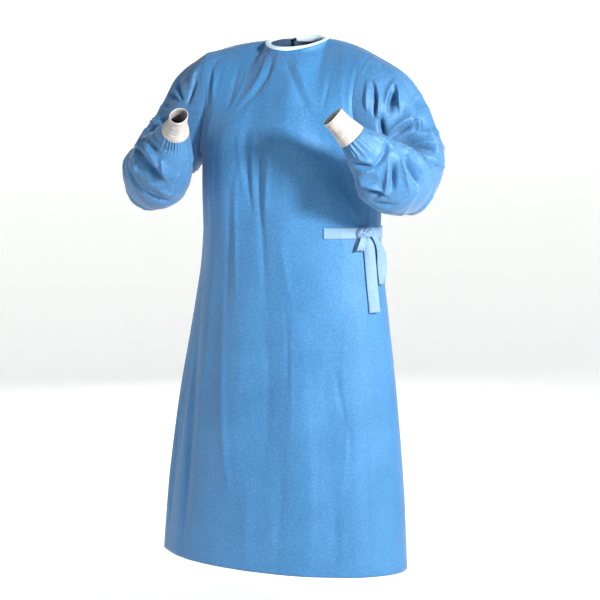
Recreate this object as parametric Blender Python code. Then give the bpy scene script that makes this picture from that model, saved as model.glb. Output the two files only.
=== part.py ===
"""A surgical gown in the shape it has when worn, with nobody in it.

The gown faces -Y, +Z is up and +X is the wearer's left. The origin is the middle of the neck opening,
at the height where the shoulder seams meet the neck. The pieces are worked out about the torso's middle and
moved sideways by NECK_MIDDLE_X as they are made. All lengths are in metres, all angles in degrees.

Every cloth piece is a grid of points on its outer side, thickened inwards by WALL. Pieces that are sewn
together share the points of their seam, and each is drawn back from it by half of SEAM_GAP.
"""

import math

import bmesh
import bpy
import numpy as np

# Cloth
WALL = 0.0015
SEAM_GAP = 0.0003

# Heights
HEM_HEIGHT = -1.224
UNDERARM_HEIGHT = -0.268
TIE_HEIGHT = -0.440
TIE_WIDTH = 0.025

# The torso's level sections, from the hem up to the underarm
TORSO_SECTIONS = (
    # height, half_width, front_depth, back_depth, middle_x, middle_y
    (-1.224, 0.313, 0.158, 0.150, -0.022, -0.026),
    (-1.050, 0.300, 0.150, 0.142, -0.017, -0.026),
    (-0.850, 0.277, 0.142, 0.134, -0.011, -0.026),
    (-0.650, 0.248, 0.133, 0.126, -0.005, -0.027),
    (-0.440, 0.222, 0.122, 0.116, 0.000, -0.030),
    (-0.360, 0.223, 0.124, 0.118, 0.000, -0.030),
    (-0.268, 0.222, 0.126, 0.118, 0.000, -0.030),
)

# Neck opening and shoulders
NECK_HALF_WIDTH = 0.067
NECK_MIDDLE_X = 0.006  # the neck opening stands this far to the left of the torso's middle
NECK_FRONT = (-0.062, -0.021)  # y and height of the opening's front
NECK_BACK = (0.060, 0.008)  # y and height of its back
SHOULDER_POINTS = {
    # out, y, z at the wearer's left (1) and right (-1), where the shoulder is held a little higher
    1: (0.202, -0.016, -0.038),
    -1: (0.214, -0.016, -0.024),
}
SHOULDER_CURVE = 1.8  # how late the shoulder seam drops between neck and sleeve
NECK_PULL_START = 0.3  # above this share of the yoke its columns lean in to the neck opening
NECK_PULL_CURVE = 1.7
NECK_SLOPES = (0.55, 0.75)  # how fast the middle line runs in and up at the neck, as shares of its rise
ARMHOLE_FRONT_DEPTH = 0.078
ARMHOLE_BACK_DEPTH = 0.066
ARMHOLE_FRONT_CUT = 0.62  # how far the armhole follows the torso's curve inwards, as a share
ARMHOLE_BACK_CUT = 0.37

# Grid of the panels. A half panel has HALF_COLUMNS, NECK_COLUMNS of them along the neck opening.
HALF_COLUMNS = 13
NECK_COLUMNS = 5
SKIRT_ROWS = 10
CHEST_ROWS = 6
YOKE_ROWS = 12

# The right back wraps over the left back. Its free edge is given as a share of the left half's width.
WRAP_EDGE = (
    # height, share
    (-1.224, 0.62),
    (-0.850, 0.60),
    (-0.440, 0.55),
    (-0.268, 0.36),
    (0.020, 0.12),
)
WRAP_COLUMNS = 4
WRAP_LIFT = 0.0075
WRAP_LIFT_SHARES = (-0.37, -0.15)  # where the lift starts and where it is full
UNDERLAP_COLUMNS = 2
UNDERLAP_SHARE = -0.13

# Creases of the panels: troughs have a negative depth and ridges a positive one. "across" runs from -1 at
# the wearer's right side seam to +1 at the left one.
CREASE_END = 0.05  # how blunt a crease's ends are
CREASE_EDGE_POWER = 8  # how late creases die out towards a side edge
CREASE_TOP_ROWS = 3  # rows over which they die out towards the top edge
FRONT_CREASES = (
    # across_a, height_a, across_b, height_b, width, depth
    (-0.22, -0.030, -0.42, -0.200, 0.026, -0.007),
    (-0.10, -0.140, -0.18, -0.420, 0.036, -0.006),
    (-0.36, -0.160, -0.36, -0.420, 0.036, 0.005),
    (0.14, -0.040, 0.24, -0.240, 0.036, 0.006),
    (0.02, -0.200, 0.56, -0.405, 0.040, 0.008),
    (0.26, -0.170, 0.74, -0.400, 0.038, -0.011),
    (0.60, -0.240, 0.84, -0.400, 0.034, 0.005),
    (-0.42, -0.540, -0.38, -0.980, 0.036, -0.006),
    (-0.72, -0.490, -0.66, -1.215, 0.040, -0.009),
    (-0.88, -0.690, -0.86, -1.215, 0.036, 0.006),
    (0.02, -0.590, 0.02, -1.000, 0.036, -0.005),
    (0.38, -0.700, 0.42, -1.215, 0.038, -0.005),
    (0.20, -0.620, 0.22, -1.215, 0.042, 0.005),
    (0.78, -0.620, 0.70, -1.215, 0.040, -0.006),
)
BACK_CREASES = (
    (0.60, -0.500, 0.34, -0.920, 0.038, -0.007),
    (0.44, -0.470, -0.04, -0.570, 0.036, -0.006),
    (0.46, -0.410, -0.12, -0.280, 0.036, -0.008),
    (-0.20, -0.120, -0.30, -0.400, 0.036, 0.007),
    (-0.55, -0.160, -0.48, -0.390, 0.036, -0.007),
    (-0.30, -0.560, -0.32, -1.215, 0.044, 0.008),
    (-0.62, -0.520, -0.66, -1.215, 0.040, -0.008),
    (0.02, -0.620, 0.06, -1.215, 0.040, -0.007),
    (0.80, -0.620, 0.82, -1.215, 0.038, -0.006),
)

# The line each sleeve follows, from the middle of the armhole round the elbow to the wrist. "out" is away
# from the body on either side, and the run columns are the line's direction times its speed.
SLEEVE_LINE = {
    "left": (
        # out, y, z, run_out, run_y, run_z
        (0.206, -0.020, -0.153, 0.20, -0.05, -0.17),
        (0.317, -0.084, -0.294, 0.01, -0.20, -0.10),
        (0.246, -0.254, -0.224, -0.16, -0.14, 0.17),
    ),
    "right": (
        (0.206, -0.020, -0.153, 0.20, -0.05, -0.17),
        (0.327, -0.076, -0.298, 0.00, -0.20, -0.10),
        (0.190, -0.240, -0.212, -0.12, -0.16, 0.14),
    ),
}
CUFF_RUN = {
    # out, y, z: the way the cuff points
    "left": (-0.56, -0.44, 0.70),
    "right": (-0.50, -0.66, 0.56),
}
# How far the sleeve stands from its line: to the elbow's crook and away from it, to its outer side, and to
# the side next to the body. Its cloth then hangs lower by sag.
SLEEVE_SECTIONS = (
    # station, to_crook, to_elbow, outer, under, sag
    (0.00, 0.074, 0.070, 0.114, 0.114, 0.000),
    (0.16, 0.072, 0.068, 0.106, 0.092, 0.000),
    (0.32, 0.058, 0.062, 0.089, 0.074, 0.004),
    (0.50, 0.048, 0.062, 0.080, 0.072, 0.012),
    (0.66, 0.054, 0.068, 0.082, 0.077, 0.020),
    (0.80, 0.058, 0.062, 0.078, 0.076, 0.018),
    (0.92, 0.044, 0.046, 0.052, 0.052, 0.006),
    (1.00, 0.031, 0.031, 0.031, 0.031, 0.000),
)
SLEEVE_HEAD_PUFF = 0.011  # how far the sleeve's head stands up over the shoulder
SLEEVE_HEAD_END = 0.26
ARMHOLE_BLEND = 0.44  # the share of the sleeve that turns from the armhole's outline to the sections
ARMHOLE_BLEND_CURVE = 1.3
ARMHOLE_DRIFT = 0.75  # how far the armhole's outline is carried along with the sleeve's line
SLEEVE_ROWS = 22
SLEEVE_LENGTH = 0.50  # nominal sizes that the creases are measured with
SLEEVE_RADIUS = 0.080
SLEEVE_CREASE_FADES = (0.14, 0.16)  # the shares of the sleeve over which creases start and die out
GATHER_DEPTH = 0.002
GATHER_STATIONS = (0.84, 0.92, 0.95)  # where the gathers start, are full, and start to die out
SLEEVE_CREASES = {
    # station_a, angle_a, station_b, angle_b, width, depth; angle 0 faces the crook, 90 is the outer side
    "left": (
        (0.40, 5, 0.34, 85, 0.019, -0.012),
        (0.50, 5, 0.50, 110, 0.019, -0.012),
        (0.48, -10, 0.46, -100, 0.020, -0.010),
        (0.62, 0, 0.66, 105, 0.020, -0.010),
        (0.10, 45, 0.34, 20, 0.019, -0.010),
        (0.12, 85, 0.34, 60, 0.019, -0.008),
        (0.66, -30, 0.74, -110, 0.020, -0.008),
    ),
    "right": (
        (0.40, 5, 0.34, 85, 0.019, -0.012),
        (0.50, 5, 0.50, 100, 0.019, -0.011),
        (0.66, -40, 0.70, 60, 0.022, -0.013),
        (0.50, -20, 0.50, -100, 0.020, -0.010),
        (0.08, 60, 0.34, 30, 0.019, -0.011),
        (0.10, 95, 0.30, 75, 0.019, -0.008),
    ),
}

# Knit cuffs
CUFF_LENGTH = 0.062
CUFF_BASE_RADIUS = 0.0310
CUFF_MOUTH = {
    # the mouth's half sizes towards the crook and across
    "left": (0.0260, 0.0260),
    "right": (0.0270, 0.0215),
}
CUFF_WALL = 0.0020
CUFF_WAIST = 0.0012  # how far the knit draws in between its ends
CUFF_RIBS = 22
RIB_HEIGHT = 0.0007
CUFF_ROWS = 5

# Neck binding
BINDING_WIDTH = 0.010
BINDING_CLOTH = 0.0010
BINDING_GAP = 0.0008

# Ties. Positions are taken from the knot: along the waist towards the back, up, and out from the cloth.
TIE_CLOTH = 0.0012
TIE_LEFT_COLUMN = 5  # columns of the front panel, counted from its middle
TIE_KNOT_COLUMN = 9
KNOT_SIZE = (0.029, 0.024, 0.016)
BACK_TIE_SEWN_COLUMNS = 2
BACK_TIE_LIFTS = (
    # how far the back tie clears the cloth at each column, from the knot to the wrap's edge
    0.0003,
    0.0006,
    0.0010,
    0.0014,
    0.0016,
    0.0020,
    0.0026,
    0.0036,
    0.0050,
)
# The ribbons' turn is the way their flat side faces: 0 to the front, 90 to the wearer's left.
FRONT_TAIL = (
    # along, up, out, turn, width
    (0.002, -0.0105, 0.0085, 34, 0.014),
    (0.008, -0.0300, 0.0115, 34, 0.024),
    (0.010, -0.0700, 0.0110, 32, 0.025),
    (0.010, -0.1200, 0.0100, 34, 0.025),
    (0.010, -0.1800, 0.0100, 32, 0.025),
)
SIDE_TAIL = (
    (0.0200, -0.0020, 0.0070, 64, 0.011),
    (0.0330, -0.0200, 0.0110, 72, 0.018),
    (0.0450, -0.0450, 0.0140, 68, 0.025),
    (0.0480, -0.0800, 0.0120, 52, 0.025),
    (0.0430, -0.1180, 0.0100, 40, 0.014),
)
LOOP = (
    (-0.009, -0.0108, 0.0040, 52, 0.012),
    (-0.015, -0.0260, 0.0045, 52, 0.018),
    (-0.017, -0.0360, 0.0075, 52, 0.020),
    (-0.017, -0.0390, 0.0120, 52, 0.020),
    (-0.016, -0.0350, 0.0165, 52, 0.020),
    (-0.013, -0.0250, 0.0175, 52, 0.017),
    (-0.008, -0.0088, 0.0125, 52, 0.012),
)
KNOT_RINGS = 7
KNOT_SPOKES = 16
KNOT_PINCHES = (0.10, 0.05)  # how much its outline and its corners are drawn in
KNOT_PINCH_TURN = 34
KNOT_SWELL = 0.12
KNOT_SWELL_TURN = 29

COLOURS = {
    # name: red, green, blue, roughness
    "gown_blue": (0.115, 0.305, 0.640, 0.75),
    "tie_blue": (0.240, 0.470, 0.780, 0.70),
    "cuff_white": (0.820, 0.810, 0.790, 0.90),
    "binding_white": (0.640, 0.740, 0.860, 0.75),
}


# ---------------------------------------------------------------- small tools


def unit(vector):
    """Vectors of length one, from one vector or an array of them."""
    vector = np.asarray(vector, float)
    return vector / np.linalg.norm(vector, axis=-1, keepdims=True)


def ease(share):
    """Goes smoothly from 0 to 1 as share does."""
    share = min(max(share, 0.0), 1.0)
    return share * share * (3 - 2 * share)


def row_at(table, station):
    """The row of a table at any station, which is its first column, on smooth curves through its rows."""
    rows = np.array(sorted(table), float)
    stations = rows[:, 0]
    slopes = np.gradient(rows, stations, axis=0)
    place = int(np.clip(np.searchsorted(stations, station) - 1, 0, len(rows) - 2))
    span = stations[place + 1] - stations[place]
    share = (station - stations[place]) / span
    return hermite(
        rows[place], slopes[place] * span, rows[place + 1], slopes[place + 1] * span, share
    )


def hermite(start, start_run, end, end_run, share):
    """The point at share of the way along a curve with the given ends and end directions."""
    square, cube = share * share, share * share * share
    return (
        (2 * cube - 3 * square + 1) * np.asarray(start)
        + (cube - 2 * square + share) * np.asarray(start_run)
        + (3 * square - 2 * cube) * np.asarray(end)
        + (cube - square) * np.asarray(end_run)
    )


def mirrored(points):
    """The same points on the wearer's other side."""
    return np.asarray(points) * (-1.0, 1.0, 1.0)


# ---------------------------------------------------------------- torso


def torso_point(across, height, face):
    """A point of the torso below the underarm. across is -1 to 1 on the front (face -1) or back (face 1)."""
    section = row_at(TORSO_SECTIONS, height)
    _, half_width, front_depth, back_depth, middle_x, middle_y = section
    angle = math.radians(90 * across)
    depth = front_depth if face < 0 else back_depth
    x = middle_x + half_width * math.sin(angle)
    return np.array((x, middle_y + face * depth * math.cos(angle), height))


def armhole_point(share, face, side):
    """A point of an armhole from the underarm (share 0) to the shoulder (share 1), as on the left side."""
    underarm = torso_point(1.0, UNDERARM_HEIGHT, face)
    _, half_width, front_depth, back_depth, *_ = row_at(TORSO_SECTIONS, UNDERARM_HEIGHT)
    if face < 0:
        depth, torso_depth, cut = ARMHOLE_FRONT_DEPTH, front_depth, ARMHOLE_FRONT_CUT
    else:
        depth, torso_depth, cut = ARMHOLE_BACK_DEPTH, back_depth, ARMHOLE_BACK_CUT
    bow = depth * math.sin(math.pi * share)
    curve = half_width * (1 - math.sqrt(1 - (bow / torso_depth) ** 2))
    rise = (1 - math.cos(math.pi * share)) / 2
    out, y, z = underarm + (np.array(SHOULDER_POINTS[side]) - underarm) * (share, share, rise)
    return np.array((out - cut * curve, y + face * bow, z))


def middle_point(share, face):
    """A point of the front or back middle line, from the underarm's height up to the neck."""
    neck_y, neck_height = NECK_FRONT if face < 0 else NECK_BACK
    start = torso_point(0.0, UNDERARM_HEIGHT, face)
    rise = neck_height - UNDERARM_HEIGHT
    end = (0.0, neck_y, neck_height)
    inwards, upwards = NECK_SLOPES
    return hermite(start, (0, 0, rise), end, (0, -inwards * face * rise, upwards * rise), share)


def top_point(across, face):
    """A point of a panel's top edge: half the neck opening, then the shoulder seam."""
    neck_y, neck_height = NECK_FRONT if face < 0 else NECK_BACK
    neck_share = NECK_COLUMNS / HALF_COLUMNS
    side = abs(across)
    sign = math.copysign(1, across)
    angle = math.radians(90 * min(side / neck_share, 1))
    x = NECK_MIDDLE_X + sign * NECK_HALF_WIDTH * math.sin(angle)
    if side <= neck_share:
        return np.array((x, neck_y * math.cos(angle), neck_height * math.cos(angle)))
    share = (side - neck_share) / (1 - neck_share)
    out, y, z = SHOULDER_POINTS[sign]
    return np.array((x + (sign * out - x) * share, y * share, z * share**SHOULDER_CURVE))


def yoke_point(across, share, face):
    """A point above the underarm's height, on a row that runs from armhole to armhole."""

    def row_point(row_share):
        edge = armhole_point(row_share, face, math.copysign(1, across))
        middle = middle_point(row_share, face)
        angle = math.radians(90 * across)
        bend = 1 - math.cos(angle)
        out = edge[0] * math.sin(angle)
        return np.array((out, *(middle[1:] + (edge[1:] - middle[1:]) * bend)))

    pull = max((share - NECK_PULL_START) / (1 - NECK_PULL_START), 0) ** NECK_PULL_CURVE
    return row_point(share) + pull * (top_point(across, face) - row_point(1.0))


def row_heights():
    """The nominal heights of a panel's rows, from the hem to the neck. One step is as wide as the tie."""
    low, high = TIE_HEIGHT - TIE_WIDTH / 2, TIE_HEIGHT + TIE_WIDTH / 2
    skirt = np.linspace(HEM_HEIGHT, low, SKIRT_ROWS + 1)
    chest = np.linspace(high, UNDERARM_HEIGHT, CHEST_ROWS + 1)
    yoke = np.linspace(UNDERARM_HEIGHT, 0.0, YOKE_ROWS + 1)[1:]
    return [*skirt, *chest, *yoke]


def panel_grid(columns, face, creases):
    """The outer points of a panel, in rows from hem to top. columns gives a row's across values."""
    rows = []
    for height in row_heights():
        if height <= UNDERARM_HEIGHT:
            rows.append([torso_point(across, height, face) for across in columns(height)])
        else:
            share = 1 - height / UNDERARM_HEIGHT
            rows.append([yoke_point(across, share, face) for across in columns(height)])
    grid = np.array(rows)
    spread = np.array([columns(height) for height in row_heights()])
    normals = grid_normals(grid) * -face
    edge = (1 - np.abs(spread) ** CREASE_EDGE_POWER) * seam_fade(len(grid))[:, None]
    girth = half_girth()
    for crease in creases:
        shift = crease_shift(crease, spread * girth, grid[..., 2], girth)
        grid = grid + normals * (shift * edge)[..., None]
    return grid


def half_girth():
    """The distance round the torso from its middle to a side seam, for each row of a panel."""
    sections = [row_at(TORSO_SECTIONS, min(height, UNDERARM_HEIGHT)) for height in row_heights()]
    quarters = [(half_width + depth) / 2 * math.pi / 2 for _, half_width, depth, *_ in sections]
    return np.array(quarters)[:, None]


def seam_fade(rows):
    """Creases die out over a panel's last rows, so that its top edge keeps its outline."""
    last = rows - 1
    return np.array([ease((last - row) / CREASE_TOP_ROWS) for row in range(rows)])


def crease_shift(crease, sideways, heights, girth):
    """How far one crease moves each point out of the cloth. Its ends are given as shares of girth."""
    across_a, height_a, across_b, height_b, width, depth = crease
    start = np.stack(np.broadcast_arrays(across_a * girth, height_a), -1)
    run = np.stack(np.broadcast_arrays(across_b * girth, height_b), -1) - start
    offset = np.stack(np.broadcast_arrays(sideways, heights), -1) - start
    share = (offset * run).sum(-1) / (run * run).sum(-1)
    near = np.clip(share, 0, 1)
    away = np.linalg.norm(offset - run * near[..., None], axis=-1)
    taper = np.sqrt(np.sin(np.pi * (near * (1 - 2 * CREASE_END) + CREASE_END)))
    return depth * taper * np.exp(-((away / width) ** 2))


def standard_columns(_height=None):
    return np.linspace(-1, 1, 2 * HALF_COLUMNS + 1)


def wrap_columns(height):
    """Across values of the right back, seen from behind: its own half, then the part that wraps over."""
    edge = row_at(WRAP_EDGE, height)[1]
    own = np.linspace(-1, 0, HALF_COLUMNS + 1)
    return np.concatenate((own, np.linspace(0, edge, WRAP_COLUMNS + 1)[1:]))


def under_columns(_height=None):
    """Across values of the left back: a short lap under the right back, then its own half."""
    lap = np.linspace(UNDERLAP_SHARE, 0, UNDERLAP_COLUMNS + 1)[:-1]
    return np.concatenate((lap, np.linspace(0, 1, HALF_COLUMNS + 1)))


def lift_wrap(grid):
    """Moves the right back out from the left back wherever it covers it."""
    start, full = WRAP_LIFT_SHARES
    spread = [wrap_columns(height) for height in row_heights()]
    lift = [[WRAP_LIFT * ease((across - start) / (full - start)) for across in row] for row in spread]
    return grid - grid_normals(grid) * np.array(lift)[..., None]


def with_neck_band(grid, spread, face):
    """Adds the row of points under the lower edge of the neck binding, next to the panel's top edge."""
    neck_share = NECK_COLUMNS / HALF_COLUMNS
    middle = int(np.abs(spread).argmin())
    down_columns = unit(grid[-2] - grid[-1])
    neck_run = neck_run_at_corner(face)
    band = []
    for across, down in zip(spread, down_columns):
        side = abs(across)
        seam_run = shoulder_run(math.copysign(1, across))
        if side < neck_share - SEAM_GAP:
            turn = math.radians(90 * side / neck_share)
            down_here = unit(math.sin(turn) * neck_run + math.cos(turn) * down_columns[middle])
            way = unit(math.sin(turn) * seam_run + math.cos(turn) * down_here)
        elif side < neck_share + SEAM_GAP:
            way = seam_run + neck_run
        else:
            share = (side - neck_share) / (1 - neck_share)
            way = unit(neck_run * (1 - share) + down * share)
        band.append(way * BINDING_WIDTH)
    return np.concatenate((grid[:-1], [grid[-1] + band], grid[-1:]))


def shoulder_run(side):
    """The way a shoulder seam leaves the neck, on the left (side 1) or the right (side -1)."""
    out, y, _ = SHOULDER_POINTS[side]
    return unit((side * (out - NECK_HALF_WIDTH) - NECK_MIDDLE_X, y, 0))


def neck_run_at_corner(face):
    """The way the neck opening leaves the shoulder seam, to the front (face -1) or the back (face 1)."""
    return unit((0, *(NECK_FRONT if face < 0 else NECK_BACK)))


# ---------------------------------------------------------------- sleeves and cuffs


def sleeve_frame(side, station):
    """A place on the sleeve's line with its direction, the way to the crook and the way across, left side."""
    line = np.array(SLEEVE_LINE[side], float)
    place = min(int(station * 2), 1)
    share = station * 2 - place
    a, b = line[place], line[place + 1]
    middle = hermite(a[:3], a[3:], b[:3], b[3:], share)
    step = 0.001
    ahead = hermite(a[:3], a[3:], b[:3], b[3:], share + step)
    run = unit(ahead - middle)
    if station > 1 - step:
        run = unit(np.array(CUFF_RUN[side]))
    elbow = line[1, :3]
    plane = unit(np.cross(elbow - line[0, :3], line[2, :3] - elbow))
    plane = plane * math.copysign(1, plane[2])
    across = unit(plane - run * (plane @ run))
    crook = np.cross(run, across)
    return middle, run, crook, across


def sleeve_angles():
    """The angle of each point of a sleeve's ring: up the armhole's front from the underarm, down its back."""
    rising = np.linspace(-90, 90, YOKE_ROWS + 2)
    return np.concatenate((rising, 180 - rising[-2:0:-1]))


def sleeve_ring(side, station):
    """One ring of a left sleeve's outer points, with no gathers or creases."""
    middle, _, crook, across = sleeve_frame(side, station)
    _, to_crook, to_elbow, outer, under, sag = row_at(SLEEVE_SECTIONS, station)
    points = []
    for angle in np.radians(sleeve_angles()):
        inward, sideways = math.cos(angle), math.sin(angle)
        inward *= to_crook if inward > 0 else to_elbow
        sideways *= outer if sideways > 0 else under
        points.append(middle + crook * inward + across * sideways)
    return np.array(points) - (0, 0, sag)


def sleeve_grid(side, armhole):
    """A sleeve's outer points, as rings from the armhole to the cuff, on the wearer's left."""
    middle = sleeve_frame(side, 0.0)[0]
    rings = []
    for step in range(SLEEVE_ROWS + 1):
        station = step / SLEEVE_ROWS
        blend = 1 - max(1 - station / ARMHOLE_BLEND, 0) ** ARMHOLE_BLEND_CURVE
        drift = 1 - (1 - ARMHOLE_DRIFT) * blend
        moved = armhole + (sleeve_frame(side, station)[0] - middle) * drift
        rings.append(moved * (1 - blend) + sleeve_ring(side, station) * blend)
    grid = np.array(rings)
    normals = -grid_normals(grid, closed=True)
    around = np.radians(sleeve_angles())[None, :]
    stations = np.linspace(0, 1, SLEEVE_ROWS + 1)[:, None]
    radius = np.full((1, 1), SLEEVE_RADIUS)
    shift = np.zeros(grid.shape[:2])
    for station_a, angle_a, station_b, angle_b, width, depth in SLEEVE_CREASES[side]:
        start = (math.radians(angle_a), station_a * SLEEVE_LENGTH)
        end = (math.radians(angle_b), station_b * SLEEVE_LENGTH)
        for turn in (-2 * math.pi, 0, 2 * math.pi):
            sideways = (around + turn) * SLEEVE_RADIUS
            crease = (*start, *end, width, depth)
            shift += crease_shift(crease, sideways, stations * SLEEVE_LENGTH, radius)
    top_fade, wrist_fade = SLEEVE_CREASE_FADES
    fade = [ease(station / top_fade) * ease((1 - station) / wrist_fade) for station in stations[:, 0]]
    shift = shift * np.array(fade)[:, None] + gathers(stations) + sleeve_head(stations)
    return grid + normals * shift[..., None]


def sleeve_head(stations):
    """A soft fullness over the top of the sleeve, next to the armhole."""
    along = np.sin(np.pi * np.clip(stations / SLEEVE_HEAD_END, 0, 1)) ** 1.5
    return SLEEVE_HEAD_PUFF * along * np.clip(np.sin(np.radians(sleeve_angles())), 0, 1)[None, :] ** 2


def gathers(stations):
    """Small even waves round the wrist, where the sleeve is drawn in to the cuff."""
    start, full, end = GATHER_STATIONS
    fade = [
        ease((station - start) / (full - start)) * ease((1 - station) / (1 - end))
        for station in stations[:, 0]
    ]
    wave = np.cos(np.arange(len(sleeve_angles())) * math.pi)
    return GATHER_DEPTH * np.array(fade)[:, None] * wave[None, :]


def cuff_grids(side):
    """A cuff's ribbed outer rings and its plain inner ones, from the sleeve's seam to the mouth."""
    middle, run, crook, across = sleeve_frame(side, 1.0)
    count = CUFF_RIBS * 2
    angles = np.radians(np.linspace(-90, 270, count, endpoint=False))
    directions = np.cos(angles)[:, None] * crook + np.sin(angles)[:, None] * across
    ribs = RIB_HEIGHT * np.cos(np.arange(count) * math.pi)
    to_crook, to_side = CUFF_MOUTH[side]
    mouth = np.hypot(to_crook * np.cos(angles), to_side * np.sin(angles))
    outer, inner = [], []
    for step in range(CUFF_ROWS + 1):
        share = step / CUFF_ROWS
        radius = CUFF_BASE_RADIUS + (mouth - CUFF_BASE_RADIUS) * ease(share)
        radius = radius - CUFF_WAIST * math.sin(math.pi * share)
        centre = middle + run * (SEAM_GAP + CUFF_LENGTH * share)
        outer.append(centre + directions * (radius + ribs)[:, None])
        inner.append(centre + directions * (radius - CUFF_WALL)[:, None])
    return np.array(outer), np.array(inner)


def wrist_normals(side):
    """The way out from the wrist's middle at each point of a sleeve's last ring."""
    _, _, crook, across = sleeve_frame(side, 1.0)
    angles = np.radians(sleeve_angles())
    directions = np.cos(angles)[:, None] * crook + np.sin(angles)[:, None] * across
    return mirrored(directions) if side == "right" else directions


# ---------------------------------------------------------------- walls


def grid_normals(grid, closed=False):
    """Unit normals of a grid of points, along row step x column step."""
    if closed:
        wide = np.concatenate((grid[:, -1:], grid, grid[:, :1]), axis=1)
        columns = (wide[:, 2:] - wide[:, :-2]) / 2
    else:
        columns = np.gradient(grid, axis=1)
    rows = np.gradient(grid, axis=0)
    return unit(np.cross(columns, rows))


def corner_normals(grids):
    """Outward normals at every point. Where pieces meet, they share the mean of the torso's and sleeve's."""
    own, shared = {}, {}

    def key(point):
        return tuple(np.floor(point * 1e6 + 0.25).astype(int))

    for name, grid in grids.items():
        closed, outward, _, turned = PANELS[name]
        points = grid.reshape(-1, 3)
        sums = np.zeros(points.shape)
        for corners in grid_triangles(grid.shape[0], grid.shape[1], closed, turned):
            a, b, c = points[list(corners)]
            sums[list(corners)] += np.cross(b - a, c - a) * outward
        own[name] = unit(sums)
        for point, normal in zip(points, own[name]):
            sides = shared.setdefault(key(point), {})
            sides[closed] = sides.get(closed, 0) + normal
    mean = {place: unit(sum(unit(side) for side in found.values())) for place, found in shared.items()}
    return {
        name: np.array([mean[key(point)] for point in grid.reshape(-1, 3)]).reshape(grid.shape)
        for name, grid in grids.items()
    }


def grid_triangles(rows, columns, closed, turned=()):
    """Triangles of a grid, as indices row * columns + column, facing column step x row step.

    turned lists the (row, column) of the quads that have the other diagonal."""
    triangles = []
    for row in range(rows - 1):
        for column in range(columns if closed else columns - 1):
            right = (column + 1) % columns
            a, b = row * columns + column, row * columns + right
            c, d = (row + 1) * columns + right, (row + 1) * columns + column
            triangles += [(a, b, d), (b, c, d)] if (row, column) in turned else [(a, b, c), (a, c, d)]
    return triangles


def drawn_back(grid, normals, edges):
    """The grid with its sewn edges moved into the piece by half the seam gap.

    edges names the sides that are sewn: first_row, last_row, first_column, last_column."""
    moved = grid.copy()
    sides = {
        "first_row": (np.s_[0, :], np.s_[1, :]),
        "last_row": (np.s_[-1, :], np.s_[-2, :]),
        "first_column": (np.s_[:, 0], np.s_[:, 1]),
        "last_column": (np.s_[:, -1], np.s_[:, -2]),
    }
    for name in edges:
        edge, inside = sides[name]
        along = np.gradient(grid[edge], axis=0)
        away = unit(np.cross(normals[edge], along))
        towards = grid[inside] - grid[edge]
        away = away * np.sign((away * towards).sum(-1, keepdims=True))
        moved[edge] = moved[edge] + away * SEAM_GAP / 2
    return moved


def wall_solid(name, outer, inner, material, closed=False, turned=()):
    """A closed body between two grids of points that have the same rows and columns."""
    rows, columns = outer.shape[:2]
    count = rows * columns
    skin = grid_triangles(rows, columns, closed, turned)
    faces = skin + [(c + count, b + count, a + count) for a, b, c in skin]
    top = (rows - 1) * columns
    rim = []
    for column in range(columns if closed else columns - 1):
        right = (column + 1) % columns
        rim += [(right, column), (top + column, top + right)]
    if not closed:
        for row in range(0, top, columns):
            rim += [(row, row + columns), (row + 2 * columns - 1, row + columns - 1)]
    points = np.concatenate((outer.reshape(-1, 3), inner.reshape(-1, 3)))
    for a, b in rim:
        # the diagonal starts at the lower point on both sides of a seam, so that the two rims stay apart
        if seam_rank(points[a]) < seam_rank(points[b]):
            faces += [(a, b, b + count), (a, b + count, a + count)]
        else:
            faces += [(a, b, a + count), (b, b + count, a + count)]
    return make_object(name, points, faces, material)


def seam_rank(point):
    """Sorts points by height, then sideways and forwards, to the nearest millimetre."""
    x, y, z = (round(float(value), 3) for value in point)
    return z, x, y


def make_object(name, points, faces, material):
    """A piece made of these triangles, facing outwards and moved so that the neck is at the origin."""
    mesh = bpy.data.meshes.new(name)
    mesh.from_pydata([tuple(point) for point in np.asarray(points) - (NECK_MIDDLE_X, 0, 0)], [], faces)
    body = bmesh.new()
    body.from_mesh(mesh)
    bmesh.ops.recalc_face_normals(body, faces=body.faces)
    body.to_mesh(mesh)
    body.free()
    piece = bpy.data.objects.new(name, mesh)
    bpy.context.scene.collection.objects.link(piece)
    mesh.materials.append(material)
    mesh.shade_smooth()
    mesh.set_sharp_from_angle(angle=math.radians(40))
    return piece


# ---------------------------------------------------------------- binding and ties


def binding_sections(edges):
    """Sections of the neck binding, over the places that neck_edge lists."""
    near, far = BINDING_GAP, BINDING_GAP + BINDING_CLOTH
    profile = (
        # out from the cloth's outer side, past its edge (nothing for the lower edge of the binding)
        (far, None),
        (far, far),
        (-WALL - far, far),
        (-WALL - far, None),
        (-WALL - near, None),
        (-WALL - near, near),
        (near, near),
        (near, None),
    )
    sections = []
    for (point, normal), (low_point, low_normal), _ in edges:
        over = unit(point - low_point)
        sections.append(
            [
                low_point + low_normal * out if past is None else point + normal * out + over * past
                for out, past in profile
            ]
        )
    return np.array(sections)


def neck_edge(grids, normals):
    """The neck's edge from the right back's free end, round the front, to the left back's end.

    Each place has the edge and the band below it, both (point, normal), and the name of its panel."""
    neck, half = NECK_COLUMNS, HALF_COLUMNS
    stretches = (
        ("back_right", range(half + WRAP_COLUMNS, half - neck, -1)),
        ("front_panel", range(half - neck, half + neck + 1)),
        ("back_left", range(UNDERLAP_COLUMNS + neck - 1, -1, -1)),
    )
    corners = {half - neck: -1, half + neck: 1}
    edges = []
    for name, columns in stretches:
        grid, facing = grids[name], normals[name]
        for column in columns:
            top = grid[-1, column], facing[-1, column]
            low = grid[-2, column], facing[-2, column]
            if name == "front_panel" and column in corners:
                low = top[0] + shoulder_run(corners[column]) * BINDING_WIDTH, top[1]
            edges.append((top, low, name))
    return edges


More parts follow.
